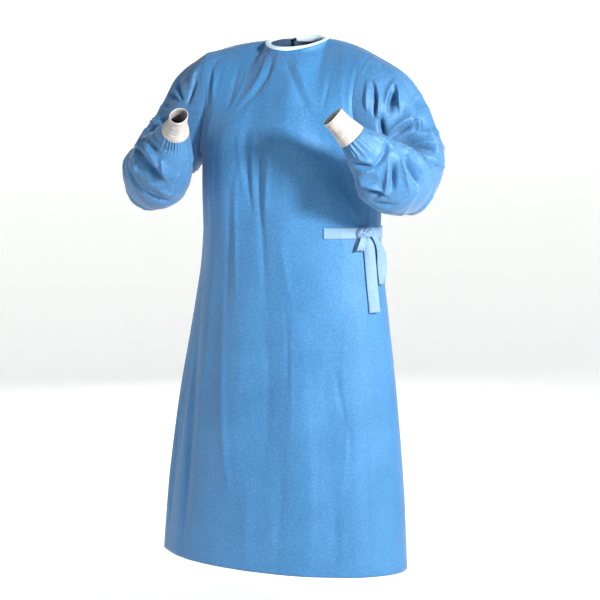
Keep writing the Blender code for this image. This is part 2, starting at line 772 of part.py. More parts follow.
def turned_sides(edges):
    """The quads of the binding's sides whose diagonal is the other one, so that they match the cloth's."""
    turned = set()
    for step in range(len(edges) - 1):
        forward = edges[step][2] == edges[step + 1][2] == "front_panel"
        turned |= {(step, side) for side in ((2, 6) if forward else (0, 4))}
    return turned


def profile_solid(name, sections, material, turned=()):
    """A body swept through sections, each a ring of points whose ends are closed flat."""
    rows, columns = sections.shape[:2]
    faces = grid_triangles(rows, columns, True, turned)
    for first, flip in ((0, True), ((rows - 1) * columns, False)):
        for step in range(columns // 2 - 1):
            a, b = first + step, first + step + 1
            c, d = first + columns - 2 - step, first + columns - 1 - step
            pair = [(a, b, c), (a, c, d)]
            faces += [face[::-1] for face in pair] if flip else pair
    return make_object(name, sections.reshape(-1, 3), faces, material)


def strip_solid(name, base, normals, lifts, material):
    """A strip of tie cloth that lies over base, a grid of 2 rows, at the given heights above it."""
    lifts = np.asarray(lifts)[None, :, None]
    inner = base + normals * lifts
    outer = base + normals * (lifts + TIE_CLOTH)
    return wall_solid(name, outer, inner, material)


def back_tie_base(grids, normals):
    """The points that the back tie lies over, from the knot to where it is sewn on, and their normals."""
    rows = np.s_[SKIRT_ROWS : SKIRT_ROWS + 2]
    half = HALF_COLUMNS
    edge_share = row_at(WRAP_EDGE, TIE_HEIGHT)[1]
    first_clear = UNDERLAP_COLUMNS + math.ceil(edge_share * half)
    wrap_end = half + WRAP_COLUMNS
    stretches = (
        ("front_panel", range(half + TIE_KNOT_COLUMN + 1, 2 * half)),
        ("back_left", range(UNDERLAP_COLUMNS + half, first_clear - 1, -1)),
        ("back_right", range(wrap_end, wrap_end - BACK_TIE_SEWN_COLUMNS - 1, -1)),
    )
    points = [grids[name][rows, list(columns)] for name, columns in stretches]
    facing = [normals[name][rows, list(columns)] for name, columns in stretches]
    return np.concatenate(points, axis=1), np.concatenate(facing, axis=1)


def knot_frame(grids, normals):
    """The middle of the knot's underside, the way along the waist to the back, up, and out."""
    left = HALF_COLUMNS + TIE_KNOT_COLUMN
    cell = grids["front_panel"][SKIRT_ROWS : SKIRT_ROWS + 2, left : left + 2]
    along = unit((cell[:, 1] - cell[:, 0]).mean(0))
    up = unit((cell[1] - cell[0]).mean(0))
    out = unit(np.cross(along, up))
    up = np.cross(out, along)
    lift = SEAM_GAP + TIE_CLOTH + SEAM_GAP
    return cell.mean((0, 1)) + out * lift, along, up, out


def knot_solid(name, frame, material):
    """A small pinched knot with a flat underside."""
    centre, along, up, out = frame
    wide, tall, deep = KNOT_SIZE
    pinch, corner_pinch = KNOT_PINCHES
    pinch_turn, swell_turn = math.radians(KNOT_PINCH_TURN), math.radians(KNOT_SWELL_TURN)
    grid = []
    for tilt in np.linspace(0, math.pi / 2, KNOT_RINGS, endpoint=False):
        row = []
        for turn in np.linspace(0, 2 * math.pi, KNOT_SPOKES, endpoint=False):
            outline = 1 + pinch * math.cos(2 * turn - pinch_turn) - corner_pinch * math.cos(4 * turn)
            reach = 0.5 * math.sqrt(math.cos(tilt)) * outline
            swell = 1 + KNOT_SWELL * math.sin(3 * turn + swell_turn) * math.sin(2 * tilt)
            row.append(
                centre
                + along * wide * reach * math.cos(turn)
                + up * tall * reach * math.sin(turn)
                + out * deep * math.sin(tilt) * swell
            )
        grid.append(row)
    points = [point for row in grid for point in row]
    top, bottom = len(points), len(points) + 1
    points += [centre + out * deep, centre]
    faces = grid_triangles(KNOT_RINGS, KNOT_SPOKES, True)
    last = (KNOT_RINGS - 1) * KNOT_SPOKES
    for spoke in range(KNOT_SPOKES):
        right = (spoke + 1) % KNOT_SPOKES
        faces.append((last + spoke, last + right, top))
        faces.append((right, spoke, bottom))
    return make_object(name, points, faces, material)


def over_front(along, height, lift):
    """A point at lift from the front panel, along the waist from the knot's middle at any height."""
    _, half_width, depth, *_ = row_at(TORSO_SECTIONS, TIE_HEIGHT)
    quarter = (half_width + depth) / 2 * math.pi / 2
    across = (TIE_KNOT_COLUMN + 0.5) / HALF_COLUMNS + along / quarter
    face = -1
    if across > 1:
        across, face = 2 - across, 1
    point = torso_point(across, height, face)
    step = 0.004
    sideways = torso_point(across + step, height, face) - torso_point(across - step, height, face)
    upwards = torso_point(across, height + step, face) - torso_point(across, height - step, face)
    return point - unit(np.cross(sideways, upwards)) * face * lift


def ribbon_solid(name, rows, steps, material):
    """A ribbon whose path is given along the waist, up and out from the cloth, from the knot's middle."""
    table = [(index, *row) for index, row in enumerate(rows)]
    samples = [row_at(table, station)[1:] for station in np.linspace(0, len(rows) - 1, steps + 1)]
    path = np.array([over_front(along, TIE_HEIGHT + up, lift) for along, up, lift, _, _ in samples])
    runs = unit(np.gradient(path, axis=0))
    sections = []
    for point, run, (_, _, _, turn, width) in zip(path, runs, samples):
        level = np.array((math.cos(math.radians(turn)), math.sin(math.radians(turn)), 0))
        side = unit(level - run * (run @ level))
        thick = np.cross(side, run) * TIE_CLOTH / 2
        left, right = point - side * width / 2, point + side * width / 2
        sections.append([left - thick, right - thick, right + thick, left + thick])
    return profile_solid(name, np.array(sections), material)


# ---------------------------------------------------------------- the gown


def make_material(name):
    red, green, blue, roughness = COLOURS[name]
    material = bpy.data.materials.new(name)
    material.use_nodes = True
    shader = material.node_tree.nodes["Principled BSDF"]
    shader.inputs["Base Color"].default_value = (red, green, blue, 1)
    shader.inputs["Roughness"].default_value = roughness
    shader.inputs["Metallic"].default_value = 0.0
    return material


def build_panels_and_sleeves():
    """Grids of the front, backs and sleeves."""
    grids = {
        "front_panel": panel_grid(standard_columns, -1, FRONT_CREASES),
        "back_left": panel_grid(under_columns, 1, BACK_CREASES),
        "back_right": lift_wrap(panel_grid(wrap_columns, 1, BACK_CREASES)),
    }
    for name, columns, face in (
        ("front_panel", standard_columns, -1),
        ("back_left", under_columns, 1),
        ("back_right", wrap_columns, 1),
    ):
        grids[name] = with_neck_band(grids[name], columns(0.0), face)
    for side, column, back in (("left", -1, "back_left"), ("right", 0, "back_right")):
        front_edge = grids["front_panel"][UNDERARM_ROW:, column]
        back_edge = grids[back][UNDERARM_ROW:, column]
        armhole = np.concatenate((front_edge, back_edge[-2:0:-1]))
        if side == "right":
            grids["sleeve_right"] = mirrored(sleeve_grid(side, mirrored(armhole)))
        else:
            grids["sleeve_left"] = sleeve_grid(side, armhole)
    return grids


# Each sewn piece: whether its grid is closed round a tube, whether its normals point out (1) or in (-1), the
# edges that are sewn to other panels or sleeves, and the quads that have the other diagonal
UNDERARM_ROW = SKIRT_ROWS + CHEST_ROWS + 1
PANELS = {
    "front_panel": (False, 1, ("first_column", "last_column", "last_row"), {(UNDERARM_ROW, 0)}),
    "back_left": (False, -1, ("last_column", "last_row"), set()),
    "back_right": (False, -1, ("first_column", "last_row"), {(UNDERARM_ROW, 0)}),
    "sleeve_left": (True, -1, ("first_row",), set()),
    "sleeve_right": (True, 1, ("first_row",), set()),
}


def main():
    for piece in list(bpy.data.objects):
        bpy.data.objects.remove(piece)
    blue, light_blue = make_material("gown_blue"), make_material("tie_blue")
    white, trim = make_material("cuff_white"), make_material("binding_white")

    grids = build_panels_and_sleeves()
    normals = corner_normals(grids)
    for side in ("left", "right"):
        normals[f"sleeve_{side}"][-1] = wrist_normals(side)
    for name, (closed, _, sewn_edges, turned) in PANELS.items():
        outer = drawn_back(grids[name], normals[name], sewn_edges)
        wall_solid(name, outer, outer - normals[name] * WALL, blue, closed, turned)

    for side in ("left", "right"):
        outer, inner = cuff_grids(side)
        if side == "right":
            outer, inner = mirrored(outer), mirrored(inner)
        wall_solid(f"cuff_{side}", outer, inner, white, True)

    edges = neck_edge(grids, normals)
    profile_solid("neck_binding", binding_sections(edges), trim, turned_sides(edges))

    tie_cells = np.s_[
        SKIRT_ROWS : SKIRT_ROWS + 2,
        HALF_COLUMNS + TIE_LEFT_COLUMN : HALF_COLUMNS + TIE_KNOT_COLUMN + 1,
    ]
    front, facing = grids["front_panel"][tie_cells], normals["front_panel"][tie_cells]
    strip_solid("front_tie", front, facing, [SEAM_GAP] * front.shape[1], light_blue)
    base, facing = back_tie_base(grids, normals)
    lifts = [*BACK_TIE_LIFTS, *[SEAM_GAP] * (BACK_TIE_SEWN_COLUMNS + 1)]
    strip_solid("back_tie", base, facing, lifts, light_blue)
    knot_solid("knot", knot_frame(grids, normals), light_blue)
    ribbon_solid("front_tail", FRONT_TAIL, 12, light_blue)
    ribbon_solid("side_tail", SIDE_TAIL, 12, light_blue)
    ribbon_solid("bow_loop", LOOP, 18, light_blue)


main()
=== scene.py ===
"""A surgical gown, dressed: thin shells of cloth on the frame's forms.

They have creases, seams, gathers, rib knit cuffs, a bound neck and tied ties."""

import math

import bmesh
import bpy
import numpy as np
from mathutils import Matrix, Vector


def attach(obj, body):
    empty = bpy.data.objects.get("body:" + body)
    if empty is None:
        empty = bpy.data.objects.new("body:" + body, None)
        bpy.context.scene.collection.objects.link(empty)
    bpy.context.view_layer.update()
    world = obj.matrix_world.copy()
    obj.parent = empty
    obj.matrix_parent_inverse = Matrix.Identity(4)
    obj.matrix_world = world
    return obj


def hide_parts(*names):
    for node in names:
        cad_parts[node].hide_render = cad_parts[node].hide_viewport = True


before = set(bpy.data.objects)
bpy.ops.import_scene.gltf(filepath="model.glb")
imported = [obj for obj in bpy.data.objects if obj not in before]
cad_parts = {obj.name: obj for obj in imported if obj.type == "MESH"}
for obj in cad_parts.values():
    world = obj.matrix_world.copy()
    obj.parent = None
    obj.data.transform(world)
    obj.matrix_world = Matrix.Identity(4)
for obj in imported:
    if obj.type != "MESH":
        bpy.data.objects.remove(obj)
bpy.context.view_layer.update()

# ---- sizes shared with the solids, in metres

HEM_HEIGHT = -1.224
UNDERARM_HEIGHT = -0.268
TIE_HEIGHT = -0.440
TIE_WIDTH = 0.025
TORSO_SECTIONS = (
    # height, half_width, front_depth, back_depth, middle_x, middle_y
    (-1.224, 0.313, 0.158, 0.150, -0.022, -0.026),
    (-1.050, 0.300, 0.150, 0.142, -0.017, -0.026),
    (-0.850, 0.277, 0.142, 0.134, -0.011, -0.026),
    (-0.650, 0.248, 0.133, 0.126, -0.005, -0.027),
    (-0.440, 0.222, 0.122, 0.116, 0.000, -0.030),
    (-0.360, 0.223, 0.124, 0.118, 0.000, -0.030),
    (-0.268, 0.222, 0.126, 0.118, 0.000, -0.030),
)
NECK_HALF_WIDTH = 0.067
NECK_MIDDLE_X = 0.006
NECK_EDGES = {-1: (-0.062, -0.021), 1: (0.060, 0.008)}  # y and height of its front and its back
SHOULDER_POINTS = {1: (0.202, -0.016, -0.038), -1: (0.214, -0.016, -0.024)}
SHOULDER_CURVE = 1.8
NECK_PULL_START = 0.3
NECK_PULL_CURVE = 1.7
NECK_SLOPES = (0.55, 0.75)
ARMHOLE_BOWS = {-1: (0.078, 0.62), 1: (0.066, 0.37)}  # depth, and how far it cuts inwards
HALF_COLUMNS = 13
NECK_COLUMNS = 5
SKIRT_ROWS = 10
CHEST_ROWS = 6
YOKE_ROWS = 12
UNDERARM_ROW = SKIRT_ROWS + CHEST_ROWS + 1
WRAP_EDGE = ((-1.224, 0.62), (-0.850, 0.60), (-0.440, 0.55), (-0.268, 0.36), (0.020, 0.12))
WRAP_COLUMNS = 4
WRAP_LIFT = 0.0075
WRAP_LIFT_SHARES = (-0.37, -0.15)
UNDERLAP_COLUMNS = 2
UNDERLAP_SHARE = -0.13
CREASE_END = 0.05
CREASE_EDGE_POWER = 8
CREASE_TOP_ROWS = 3
FRONT_CREASES = (
    # across_a, height_a, across_b, height_b, width, depth
    (-0.22, -0.030, -0.42, -0.200, 0.026, -0.002),
    (-0.10, -0.140, -0.18, -0.420, 0.036, -0.006),
    (-0.36, -0.160, -0.36, -0.420, 0.036, 0.005),
    (0.14, -0.040, 0.24, -0.240, 0.036, 0.006),
    (0.02, -0.200, 0.56, -0.405, 0.040, 0.008),
    (0.26, -0.170, 0.74, -0.400, 0.038, -0.011),
    (0.60, -0.240, 0.84, -0.400, 0.034, 0.005),
    (-0.42, -0.540, -0.38, -0.980, 0.036, -0.006),
    (-0.72, -0.490, -0.66, -1.215, 0.040, -0.009),
    (-0.88, -0.690, -0.86, -1.215, 0.036, 0.006),
    (0.02, -0.590, 0.02, -1.000, 0.036, -0.005),
    (0.38, -0.700, 0.42, -1.215, 0.038, -0.005),
    (0.20, -0.620, 0.22, -1.215, 0.042, 0.005),
    (0.78, -0.620, 0.70, -1.215, 0.040, -0.006),
)
BACK_CREASES = (
    (0.60, -0.500, 0.34, -0.920, 0.038, -0.007),
    (0.44, -0.470, -0.04, -0.570, 0.036, -0.006),
    (0.46, -0.410, -0.12, -0.280, 0.036, -0.008),
    (-0.20, -0.120, -0.30, -0.400, 0.036, 0.007),
    (-0.55, -0.160, -0.48, -0.390, 0.036, -0.007),
    (-0.30, -0.560, -0.32, -1.215, 0.044, 0.008),
    (-0.62, -0.520, -0.66, -1.215, 0.040, -0.008),
    (0.02, -0.620, 0.06, -1.215, 0.040, -0.007),
    (0.80, -0.620, 0.82, -1.215, 0.038, -0.006),
)
SLEEVE_LINE = {
    "left": (
        # out, y, z, run_out, run_y, run_z
        (0.206, -0.020, -0.153, 0.20, -0.05, -0.17),
        (0.317, -0.084, -0.294, 0.01, -0.20, -0.10),
        (0.246, -0.254, -0.224, -0.16, -0.14, 0.17),
    ),
    "right": (
        (0.206, -0.020, -0.153, 0.20, -0.05, -0.17),
        (0.327, -0.076, -0.298, 0.00, -0.20, -0.10),
        (0.190, -0.240, -0.212, -0.12, -0.16, 0.14),
    ),
}
CUFF_RUN = {"left": (-0.56, -0.44, 0.70), "right": (-0.50, -0.66, 0.56)}
SLEEVE_SECTIONS = (
    # station, to_crook, to_elbow, outer, under, sag
    (0.00, 0.074, 0.070, 0.114, 0.114, 0.000),
    (0.16, 0.072, 0.068, 0.106, 0.092, 0.000),
    (0.32, 0.058, 0.062, 0.089, 0.074, 0.004),
    (0.50, 0.048, 0.062, 0.080, 0.072, 0.012),
    (0.66, 0.054, 0.068, 0.082, 0.077, 0.020),
    (0.80, 0.058, 0.062, 0.078, 0.076, 0.018),
    (0.92, 0.044, 0.046, 0.052, 0.052, 0.006),
    (1.00, 0.031, 0.031, 0.031, 0.031, 0.000),
)
SLEEVE_HEAD_PUFF = 0.011
SLEEVE_HEAD_END = 0.26
SLEEVE_HEAD_CURVE = 1.5
ARMHOLE_BLEND = 0.44
ARMHOLE_BLEND_CURVE = 1.3
ARMHOLE_DRIFT = 0.75
SLEEVE_ROWS = 22
SLEEVE_LENGTH = 0.50
SLEEVE_RADIUS = 0.080
SLEEVE_CREASE_FADES = (0.14, 0.16)
SLEEVE_CREASES = {
    # station_a, angle_a, station_b, angle_b, width, depth
    "left": (
        (0.40, 5, 0.34, 85, 0.019, -0.012),
        (0.50, 5, 0.50, 110, 0.019, -0.012),
        (0.48, -10, 0.46, -100, 0.020, -0.010),
        (0.62, 0, 0.66, 105, 0.020, -0.010),
        (0.10, 45, 0.34, 20, 0.019, -0.010),
        (0.12, 85, 0.34, 60, 0.019, -0.008),
        (0.66, -30, 0.74, -110, 0.020, -0.008),
    ),
    "right": (
        (0.40, 5, 0.34, 85, 0.019, -0.012),
        (0.50, 5, 0.50, 100, 0.019, -0.011),
        (0.66, -40, 0.70, 60, 0.022, -0.013),
        (0.50, -20, 0.50, -100, 0.020, -0.010),
        (0.08, 60, 0.34, 30, 0.019, -0.011),
        (0.10, 95, 0.30, 75, 0.019, -0.008),
    ),
}
CUFF_LENGTH = 0.062
CUFF_BASE_RADIUS = 0.0310
CUFF_MOUTH = {"left": (0.0260, 0.0260), "right": (0.0270, 0.0215)}
CUFF_WAIST = 0.0012
BINDING_WIDTH = 0.010
TIE_LEFT_COLUMN = 5
TIE_KNOT_COLUMN = 9
KNOT_SIZE = (0.029, 0.024, 0.016)
FRONT_TAIL = (
    # along, up, out, turn, width
    (0.002, -0.0105, 0.0085, 34, 0.014),
    (0.008, -0.0300, 0.0115, 34, 0.024),
    (0.010, -0.0700, 0.0110, 32, 0.025),
    (0.010, -0.1200, 0.0100, 34, 0.025),
    (0.010, -0.1800, 0.0100, 32, 0.025),
)
SIDE_TAIL = (
    (0.0200, -0.0020, 0.0070, 64, 0.011),
    (0.0330, -0.0200, 0.0110, 72, 0.018),
    (0.0450, -0.0450, 0.0140, 68, 0.025),
    (0.0480, -0.0800, 0.0120, 52, 0.025),
    (0.0430, -0.1180, 0.0100, 40, 0.014),
)
LOOP = (
    (-0.009, -0.0108, 0.0040, 52, 0.012),
    (-0.015, -0.0260, 0.0045, 52, 0.018),
    (-0.017, -0.0360, 0.0075, 52, 0.020),
    (-0.017, -0.0390, 0.0120, 52, 0.020),
    (-0.016, -0.0350, 0.0165, 52, 0.020),
    (-0.013, -0.0250, 0.0175, 52, 0.017),
    (-0.008, -0.0088, 0.0125, 52, 0.012),
)

# ---- sizes of the fine cloth

CLOTH = 0.0007  # thickness of the shells
FINE_SKIRT = 11  # fine rows to each coarse row, below the tie
FINE_CHEST = 6
FINE_YOKE = 9
FINE_BAND = 3
FINE_COLUMNS = 7
FINE_RINGS = 9
SEAM_DIP = 0.0002  # how deep a seam lies
SEAM_WIDTH = 0.0022

# Creases of the fine cloth. Each runs through three places, given as across and height on a panel
# and as degrees and station on a sleeve, in thousandths apart from the degrees. The two widths are
# those of its left and right side, depth is its rise, and these three are in millimetres. Sharp is
# 2 for a soft crease and nearer 1 for a crisp one. Peak is the share of its length at which it is
# deepest, and is left out where it is the middle.
FINE_FRONT = (
    # from, through, to, width_left, width_right, depth, sharp, peak
    # the neck and chest
    (-130, -26, -120, -88, -300, -160, 7, 9, -4.5, 1.4, 0.45),
    (-200, -30, -190, -85, -340, -155, 7, 7, 3, 1.3, 0.45),
    (-500, -62, -460, -110, -430, -160, 5, 8, -3, 1.3),
    (-400, -70, -370, -115, -420, -165, 5, 7, 2.2, 1.3),
    (30, -48, 140, -91, 330, -168, 9, 8, -5, 1.5),
    (120, -50, 210, -91, 380, -156, 10, 7, 3.6, 1.3),
    (520, -85, 510, -120, 450, -155, 5, 5, -2.6, 1.3),
    (-600, -36, -750, -48, -880, -66, 7, 7, -2.5, 1.5),
    (-810, -50, -820, -92, -820, -165, 5, 9, -6, 1.3),
    (-860, -50, -770, -96, -680, -145, 7, 4, 5, 1.2),
    (860, -58, 930, -80, 970, -105, 7, 7, -3.6, 1.5),
    # hollows and ridges that hang down the middle from the chest
    (-240, -215, -220, -280, -200, -345, 5, 6, 2.6, 1.2, 0.45),
    (-190, -205, -170, -300, -130, -400, 8, 7, -5, 1.5),
    (-120, -205, -125, -290, -120, -380, 5, 5, 3.2, 1.2, 0.45),
    (-70, -235, -70, -370, 0, -610, 9, 8, -5.6, 1.7, 0.45),
    (10, -222, 0, -300, -40, -430, 6, 8, 4.8, 1.1, 0.4),
    (-240, -290, -260, -440, -210, -610, 5, 5, 3.4, 1.2),
    (-300, -330, -320, -470, -290, -640, 7, 8, -3, 1.5),
    (70, -450, 120, -525, 170, -610, 8, 12, 2.8, 1.4),
    (-500, -230, -520, -360, -540, -520, 12, 14, 3, 1.8),
    # short drags towards the knot
    (500, -335, 620, -385, 720, -432, 6, 8, 2.8, 1.4, 0.65),
    (590, -395, 670, -419, 750, -438, 4, 5, -3.6, 1.2, 0.7),
    (640, -370, 700, -402, 765, -434, 4, 4, 2.8, 1.2, 0.7),
    (730, -360, 760, -396, 800, -430, 4, 5, -3.8, 1.2, 0.7),
    (810, -340, 810, -385, 810, -428, 4, 4, 2.6, 1.2, 0.7),
    (780, -470, 740, -560, 660, -680, 8, 10, 3.2, 1.5, 0.3),
    (840, -470, 820, -540, 800, -640, 6, 8, -3.6, 1.4, 0.3),
    # the skirt
    (-660, -600, -550, -920, -500, -1215, 38, 14, -12.5, 1.8, 0.6),
    (-330, -590, -250, -850, -150, -1080, 8, 18, 5.5, 1.2, 0.6),
    (-780, -860, -750, -1000, -730, -1220, 12, 12, -3.2, 1.7, 0.6),
    (120, -610, 145, -700, 140, -790, 5, 6, -2.8, 1.3),
    (150, -680, 170, -800, 160, -930, 5, 4, 3, 1.1),
    (-20, -640, 30, -780, 20, -960, 9, 9, -2.4, 1.6),
    (420, -740, 470, -825, 510, -935, 7, 9, -3.2, 1.4),
    (460, -790, 490, -880, 440, -1050, 5, 6, 2.8, 1.2),
    (110, -950, 120, -1060, 100, -1205, 12, 10, -2.8, 1.7, 0.6),
    (-70, -980, -60, -1090, -50, -1222, 14, 14, 2.6, 1.8, 0.65),
    (400, -1000, 410, -1110, 420, -1215, 12, 12, -2.6, 1.8, 0.6),
    (260, -820, 280, -1000, 270, -1222, 12, 16, 2.4, 1.8, 0.6),
    (660, -720, 620, -940, 620, -1222, 10, 14, -3.8, 1.7, 0.6),
)
FINE_BACK = (
    # the yoke and shoulder blades
    (160, 0, 220, -60, 260, -150, 6, 9, -6.9, 1.5, 0.35),
    (-180, 0, -240, -70, -240, -170, 9, 6, -6.5, 1.5, 0.35),
    (-550, -60, -500, -120, -520, -220, 8, 10, -7.6, 1.5, 0.45),
    (-900, -90, -760, -150, -600, -210, 6, 8, -8.6, 1.4, 0.45),
    (880, -90, 740, -140, 580, -190, 8, 6, -8.6, 1.4, 0.45),
    (600, -70, 520, -140, 500, -240, 8, 9, 6.5, 1.5, 0.45),
    (-100, -120, -140, -220, -120, -340, 12, 9, -6.5, 1.7),
    # drags from the waist tie's end, and the small of the back
    (520, -445, 300, -420, 20, -340, 6, 9, -9.7, 1.4, 0.3),
    (520, -450, 280, -470, -20, -450, 5, 7, 6.9, 1.3, 0.3),
    (530, -452, 320, -510, 80, -600, 6, 9, -9.7, 1.4, 0.3),
    (540, -458, 400, -580, 260, -760, 6, 10, 8.6, 1.3, 0.3),
    (540, -460, 480, -620, 400, -820, 8, 8, -9.7, 1.5, 0.35),
    (-300, -300, -340, -420, -320, -560, 10, 10, 6.5, 1.7),
    (-600, -330, -620, -480, -580, -640, 12, 9, -8.6, 1.6),
    # the skirt
    (-440, -620, -460, -860, -440, -1222, 12, 12, -9.7, 1.8, 0.6),
    (-800, -560, -780, -860, -800, -1222, 12, 12, -10.8, 1.7, 0.6),
    (-120, -680, -140, -920, -120, -1222, 10, 14, 7.8, 1.7, 0.6),
    (180, -760, 220, -980, 240, -1222, 12, 10, -9.7, 1.7, 0.6),
    (480, -820, 500, -1000, 500, -1222, 10, 12, 8.6, 1.7, 0.6),
    (740, -600, 700, -860, 720, -1222, 12, 12, -9.7, 1.7, 0.6),
)
FINE_SLEEVE = {
    "left": (
        # narrow hollows that hang from the armhole into the crook, with the ridges between them
        (29, 70, 21, 110, 4, 135, 5, 6, -9, 1.6, 0.6),
        (28, 45, 14, 70, 1, 90, 7, 5, 5, 1.1, 0.55),
        (35, 70, 23, 120, 4, 162, 5, 7, 6, 1.1, 0.55),
        (46, 155, 35, 172, 23, 192, 8, 8, -10, 2, 0.55),
        (56, 128, 36, 140, 24, 160, 5, 6, 5, 1.1),
        (55, 130, 46, 180, 34, 225, 7, 5, 6.5, 1.1),
        (10, 165, 2, 190, -6, 230, 8, 8, -12, 1.8, 0.6),
        (76, 150, 68, 220, 54, 285, 9, 9, -2.6, 1.7),
        # slits and rolls that run out of the crook over the outside of the elbow
        (-2, 258, 20, 266, 45, 286, 9, 5, 7, 1.2, 0.55),
        (-2, 282, 18, 292, 40, 314, 7, 8, -9.5, 1.4, 0.45),
        (48, 285, 51, 320, 42, 350, 4, 4, 5.5, 1.2),
        (57, 290, 59, 320, 52, 355, 4, 5, -4.5, 1.2),
        (2, 352, 45, 378, 92, 386, 9, 7, 10, 1.5),
        (2, 412, 46, 409, 96, 413, 11, 11, -9, 1.6),
        (4, 440, 44, 437, 90, 434, 6, 6, 8, 1.3),
        (0, 474, 42, 469, 86, 464, 11, 11, -9, 1.6),
        (0, 502, 40, 499, 84, 490, 9, 9, 6, 1.5),
        (4, 520, 52, 520, 104, 500, 7, 7, 3.5, 1.7),
        (90, 310, 88, 350, 80, 400, 9, 8, -2.4, 1.7),
        # where the elbow's cloth laps over the forearm's
        (76, 590, 96, 552, 126, 488, 3, 10, -8, 1.2, 0.6),
        (80, 562, 101, 528, 131, 468, 8, 3, 5, 1.2, 0.6),
        (94, 440, 110, 465, 124, 480, 7, 7, -3, 1.4),
        # the roll along the forearm's upper side
        (114, 990, 104, 940, 107, 890, 7, 6, 6, 1.3, 0.55),
        (106, 915, 130, 900, 178, 900, 6, 5, -8, 1.3),
        # ridges that fan out of the crook over the forearm, with hollows between them
        (135, 862, 156, 833, 180, 792, 9, 9, -9, 2.2, 0.55),
        (134, 880, 165, 846, 195, 788, 6, 5, 7, 1, 0.55),
        (118, 845, 140, 805, 160, 738, 5, 6, 6.5, 1),
        (112, 832, 129, 786, 146, 718, 9, 9, -8, 2.2, 0.55),
        (103, 825, 116, 770, 135, 682, 6, 7, 6, 1),
        (107, 845, 103, 810, 107, 785, 4, 4, -4.5, 1.2),
        (93, 800, 104, 730, 119, 640, 8, 8, -4.5, 1.8),
        # folds across the forearm, below the cuff
        (200, 972, 187, 942, 169, 912, 6, 4, 6.5, 1.1),
        (220, 952, 198, 928, 176, 900, 4, 5, -8, 1.2, 0.55),
        (216, 912, 197, 902, 176, 890, 5, 5, 5.5, 1.2),
        (234, 892, 203, 853, 188, 808, 9, 5, 8, 1),
        (216, 860, 200, 828, 193, 782, 7, 8, -7, 1.8),
        (222, 790, 206, 760, 187, 730, 8, 8, -4, 1.6),
        (-78, 900, -84, 840, -96, 760, 6, 8, -5, 1.4),
        # the under and back sides
        (-20, 440, -60, 460, -100, 470, 5, 7, -8, 1.3, 0.35),
        (-14, 520, -58, 540, -104, 570, 6, 6, 5, 1.3, 0.4),
        (-20, 360, -60, 370, -104, 360, 6, 6, -6, 1.4, 0.4),
        (150, 200, 170, 280, 200, 340, 9, 8, -5, 1.5),
        (120, 360, 150, 400, 190, 420, 8, 8, 4, 1.4),
        (130, 460, 168, 500, 210, 520, 7, 8, -5, 1.4),
        (150, 580, 186, 600, 226, 580, 8, 9, 4.5, 1.5),
        (186, 140, 204, 240, 220, 360, 8, 8, 3.6, 1.5),
    ),
    "right": (
        # the upper arm, seen beside the torso
        (44, 18, 35, 40, 24, 72, 8, 7, 4.5, 1.4),
        (26, 40, 18, 70, 11, 105, 5, 6, -5.5, 1.4),
        (56, 128, 34, 130, 22, 120, 6, 4, -7, 1.2, 0.45),
        (58, 152, 38, 146, 26, 132, 4, 4, 4.5, 1.1),
        (60, 184, 40, 164, 26, 142, 6, 6, -6, 1.4),
        (64, 250, 44, 225, 24, 200, 5, 5, 4, 1.2),
        (54, 295, 44, 280, 22, 220, 5, 5, -5, 1.2),
        (72, 325, 56, 310, 40, 270, 5, 5, 4.5, 1.1),
        (70, 365, 53, 332, 42, 300, 5, 5, -6, 1.2),
        (72, 425, 42, 405, 14, 380, 6, 6, -9, 1.4, 0.6),
        (88, 485, 52, 465, 14, 450, 6, 6, 6, 1.2, 0.55),
        # the forearm
        (112, 905, 146, 918, 170, 932, 8, 7, -6, 1.6),
        (98, 862, 118, 866, 140, 872, 5, 5, 4.5, 1.1),
        (92, 700, 122, 690, 150, 690, 9, 9, 3.6, 1.5),
        (110, 940, 150, 962, 174, 980, 5, 5, -5, 1.3),
        (166, 948, 188, 958, 220, 968, 4, 5, -5, 1.3),
        (113, 872, 162, 897, 203, 858, 6, 6, 5.5, 1.1),
        (124, 838, 168, 850, 209, 848, 10, 10, -8.5, 2.2, 0.6),
        (187, 915, 201, 882, 212, 846, 5, 8, 6.5, 1),
        (104, 800, 118, 822, 142, 850, 5, 5, -6, 1.3),
        (137, 822, 154, 792, 165, 758, 5, 6, 5, 1),
        (176, 782, 193, 800, 212, 822, 5, 6, 3.4, 1.2),
        (177, 805, 196, 822, 214, 842, 4, 5, -3.6, 1.2),
        (136, 748, 158, 738, 182, 740, 10, 10, -3.6, 1.8),
        (230, 820, 236, 842, 245, 862, 4, 4, -4.2, 1.1),
        (225, 842, 232, 862, 241, 884, 4, 5, 3.6, 1.1),
        (196, 800, 222, 790, 250, 780, 6, 6, 4, 1.3),
        (190, 740, 214, 745, 244, 730, 7, 7, -4.5, 1.4),
        (-70, 960, -80, 910, -88, 870, 6, 7, 4, 1.3),
        # the under and back sides
        (-16, 470, -58, 460, -100, 450, 6, 7, -8, 1.3, 0.35),
        (-14, 540, -58, 560, -104, 600, 6, 6, 5, 1.3, 0.4),
        (-20, 370, -62, 380, -104, 370, 6, 6, -6, 1.4, 0.4),
        (146, 180, 168, 270, 200, 330, 9, 8, -5, 1.5),
        (122, 380, 152, 410, 192, 400, 8, 8, 4, 1.4),
        (132, 480, 170, 520, 212, 540, 7, 8, -5, 1.4),
        (152, 600, 188, 610, 228, 590, 8, 9, 4.5, 1.5),
    ),
}
SLEEVE_DEEPER = 2.0  # the sleeves are creased harder than the panels
SLEEVE_NARROWER = 0.78
CREASE_VALUES = 11  # in a whole row of the tables
CREASE_MIDDLE = 0.5
PATH_STEPS = 24  # places along each crease
CREASE_REACH = 3.2  # how many of its widths a crease reaches
FINE_END = 0.03  # how blunt a fine crease's ends are
FINE_TAPER = 0.8
TURNED_AWAY = (-0.1, 0.4)  # from which to which agreement of the normals a crease comes in

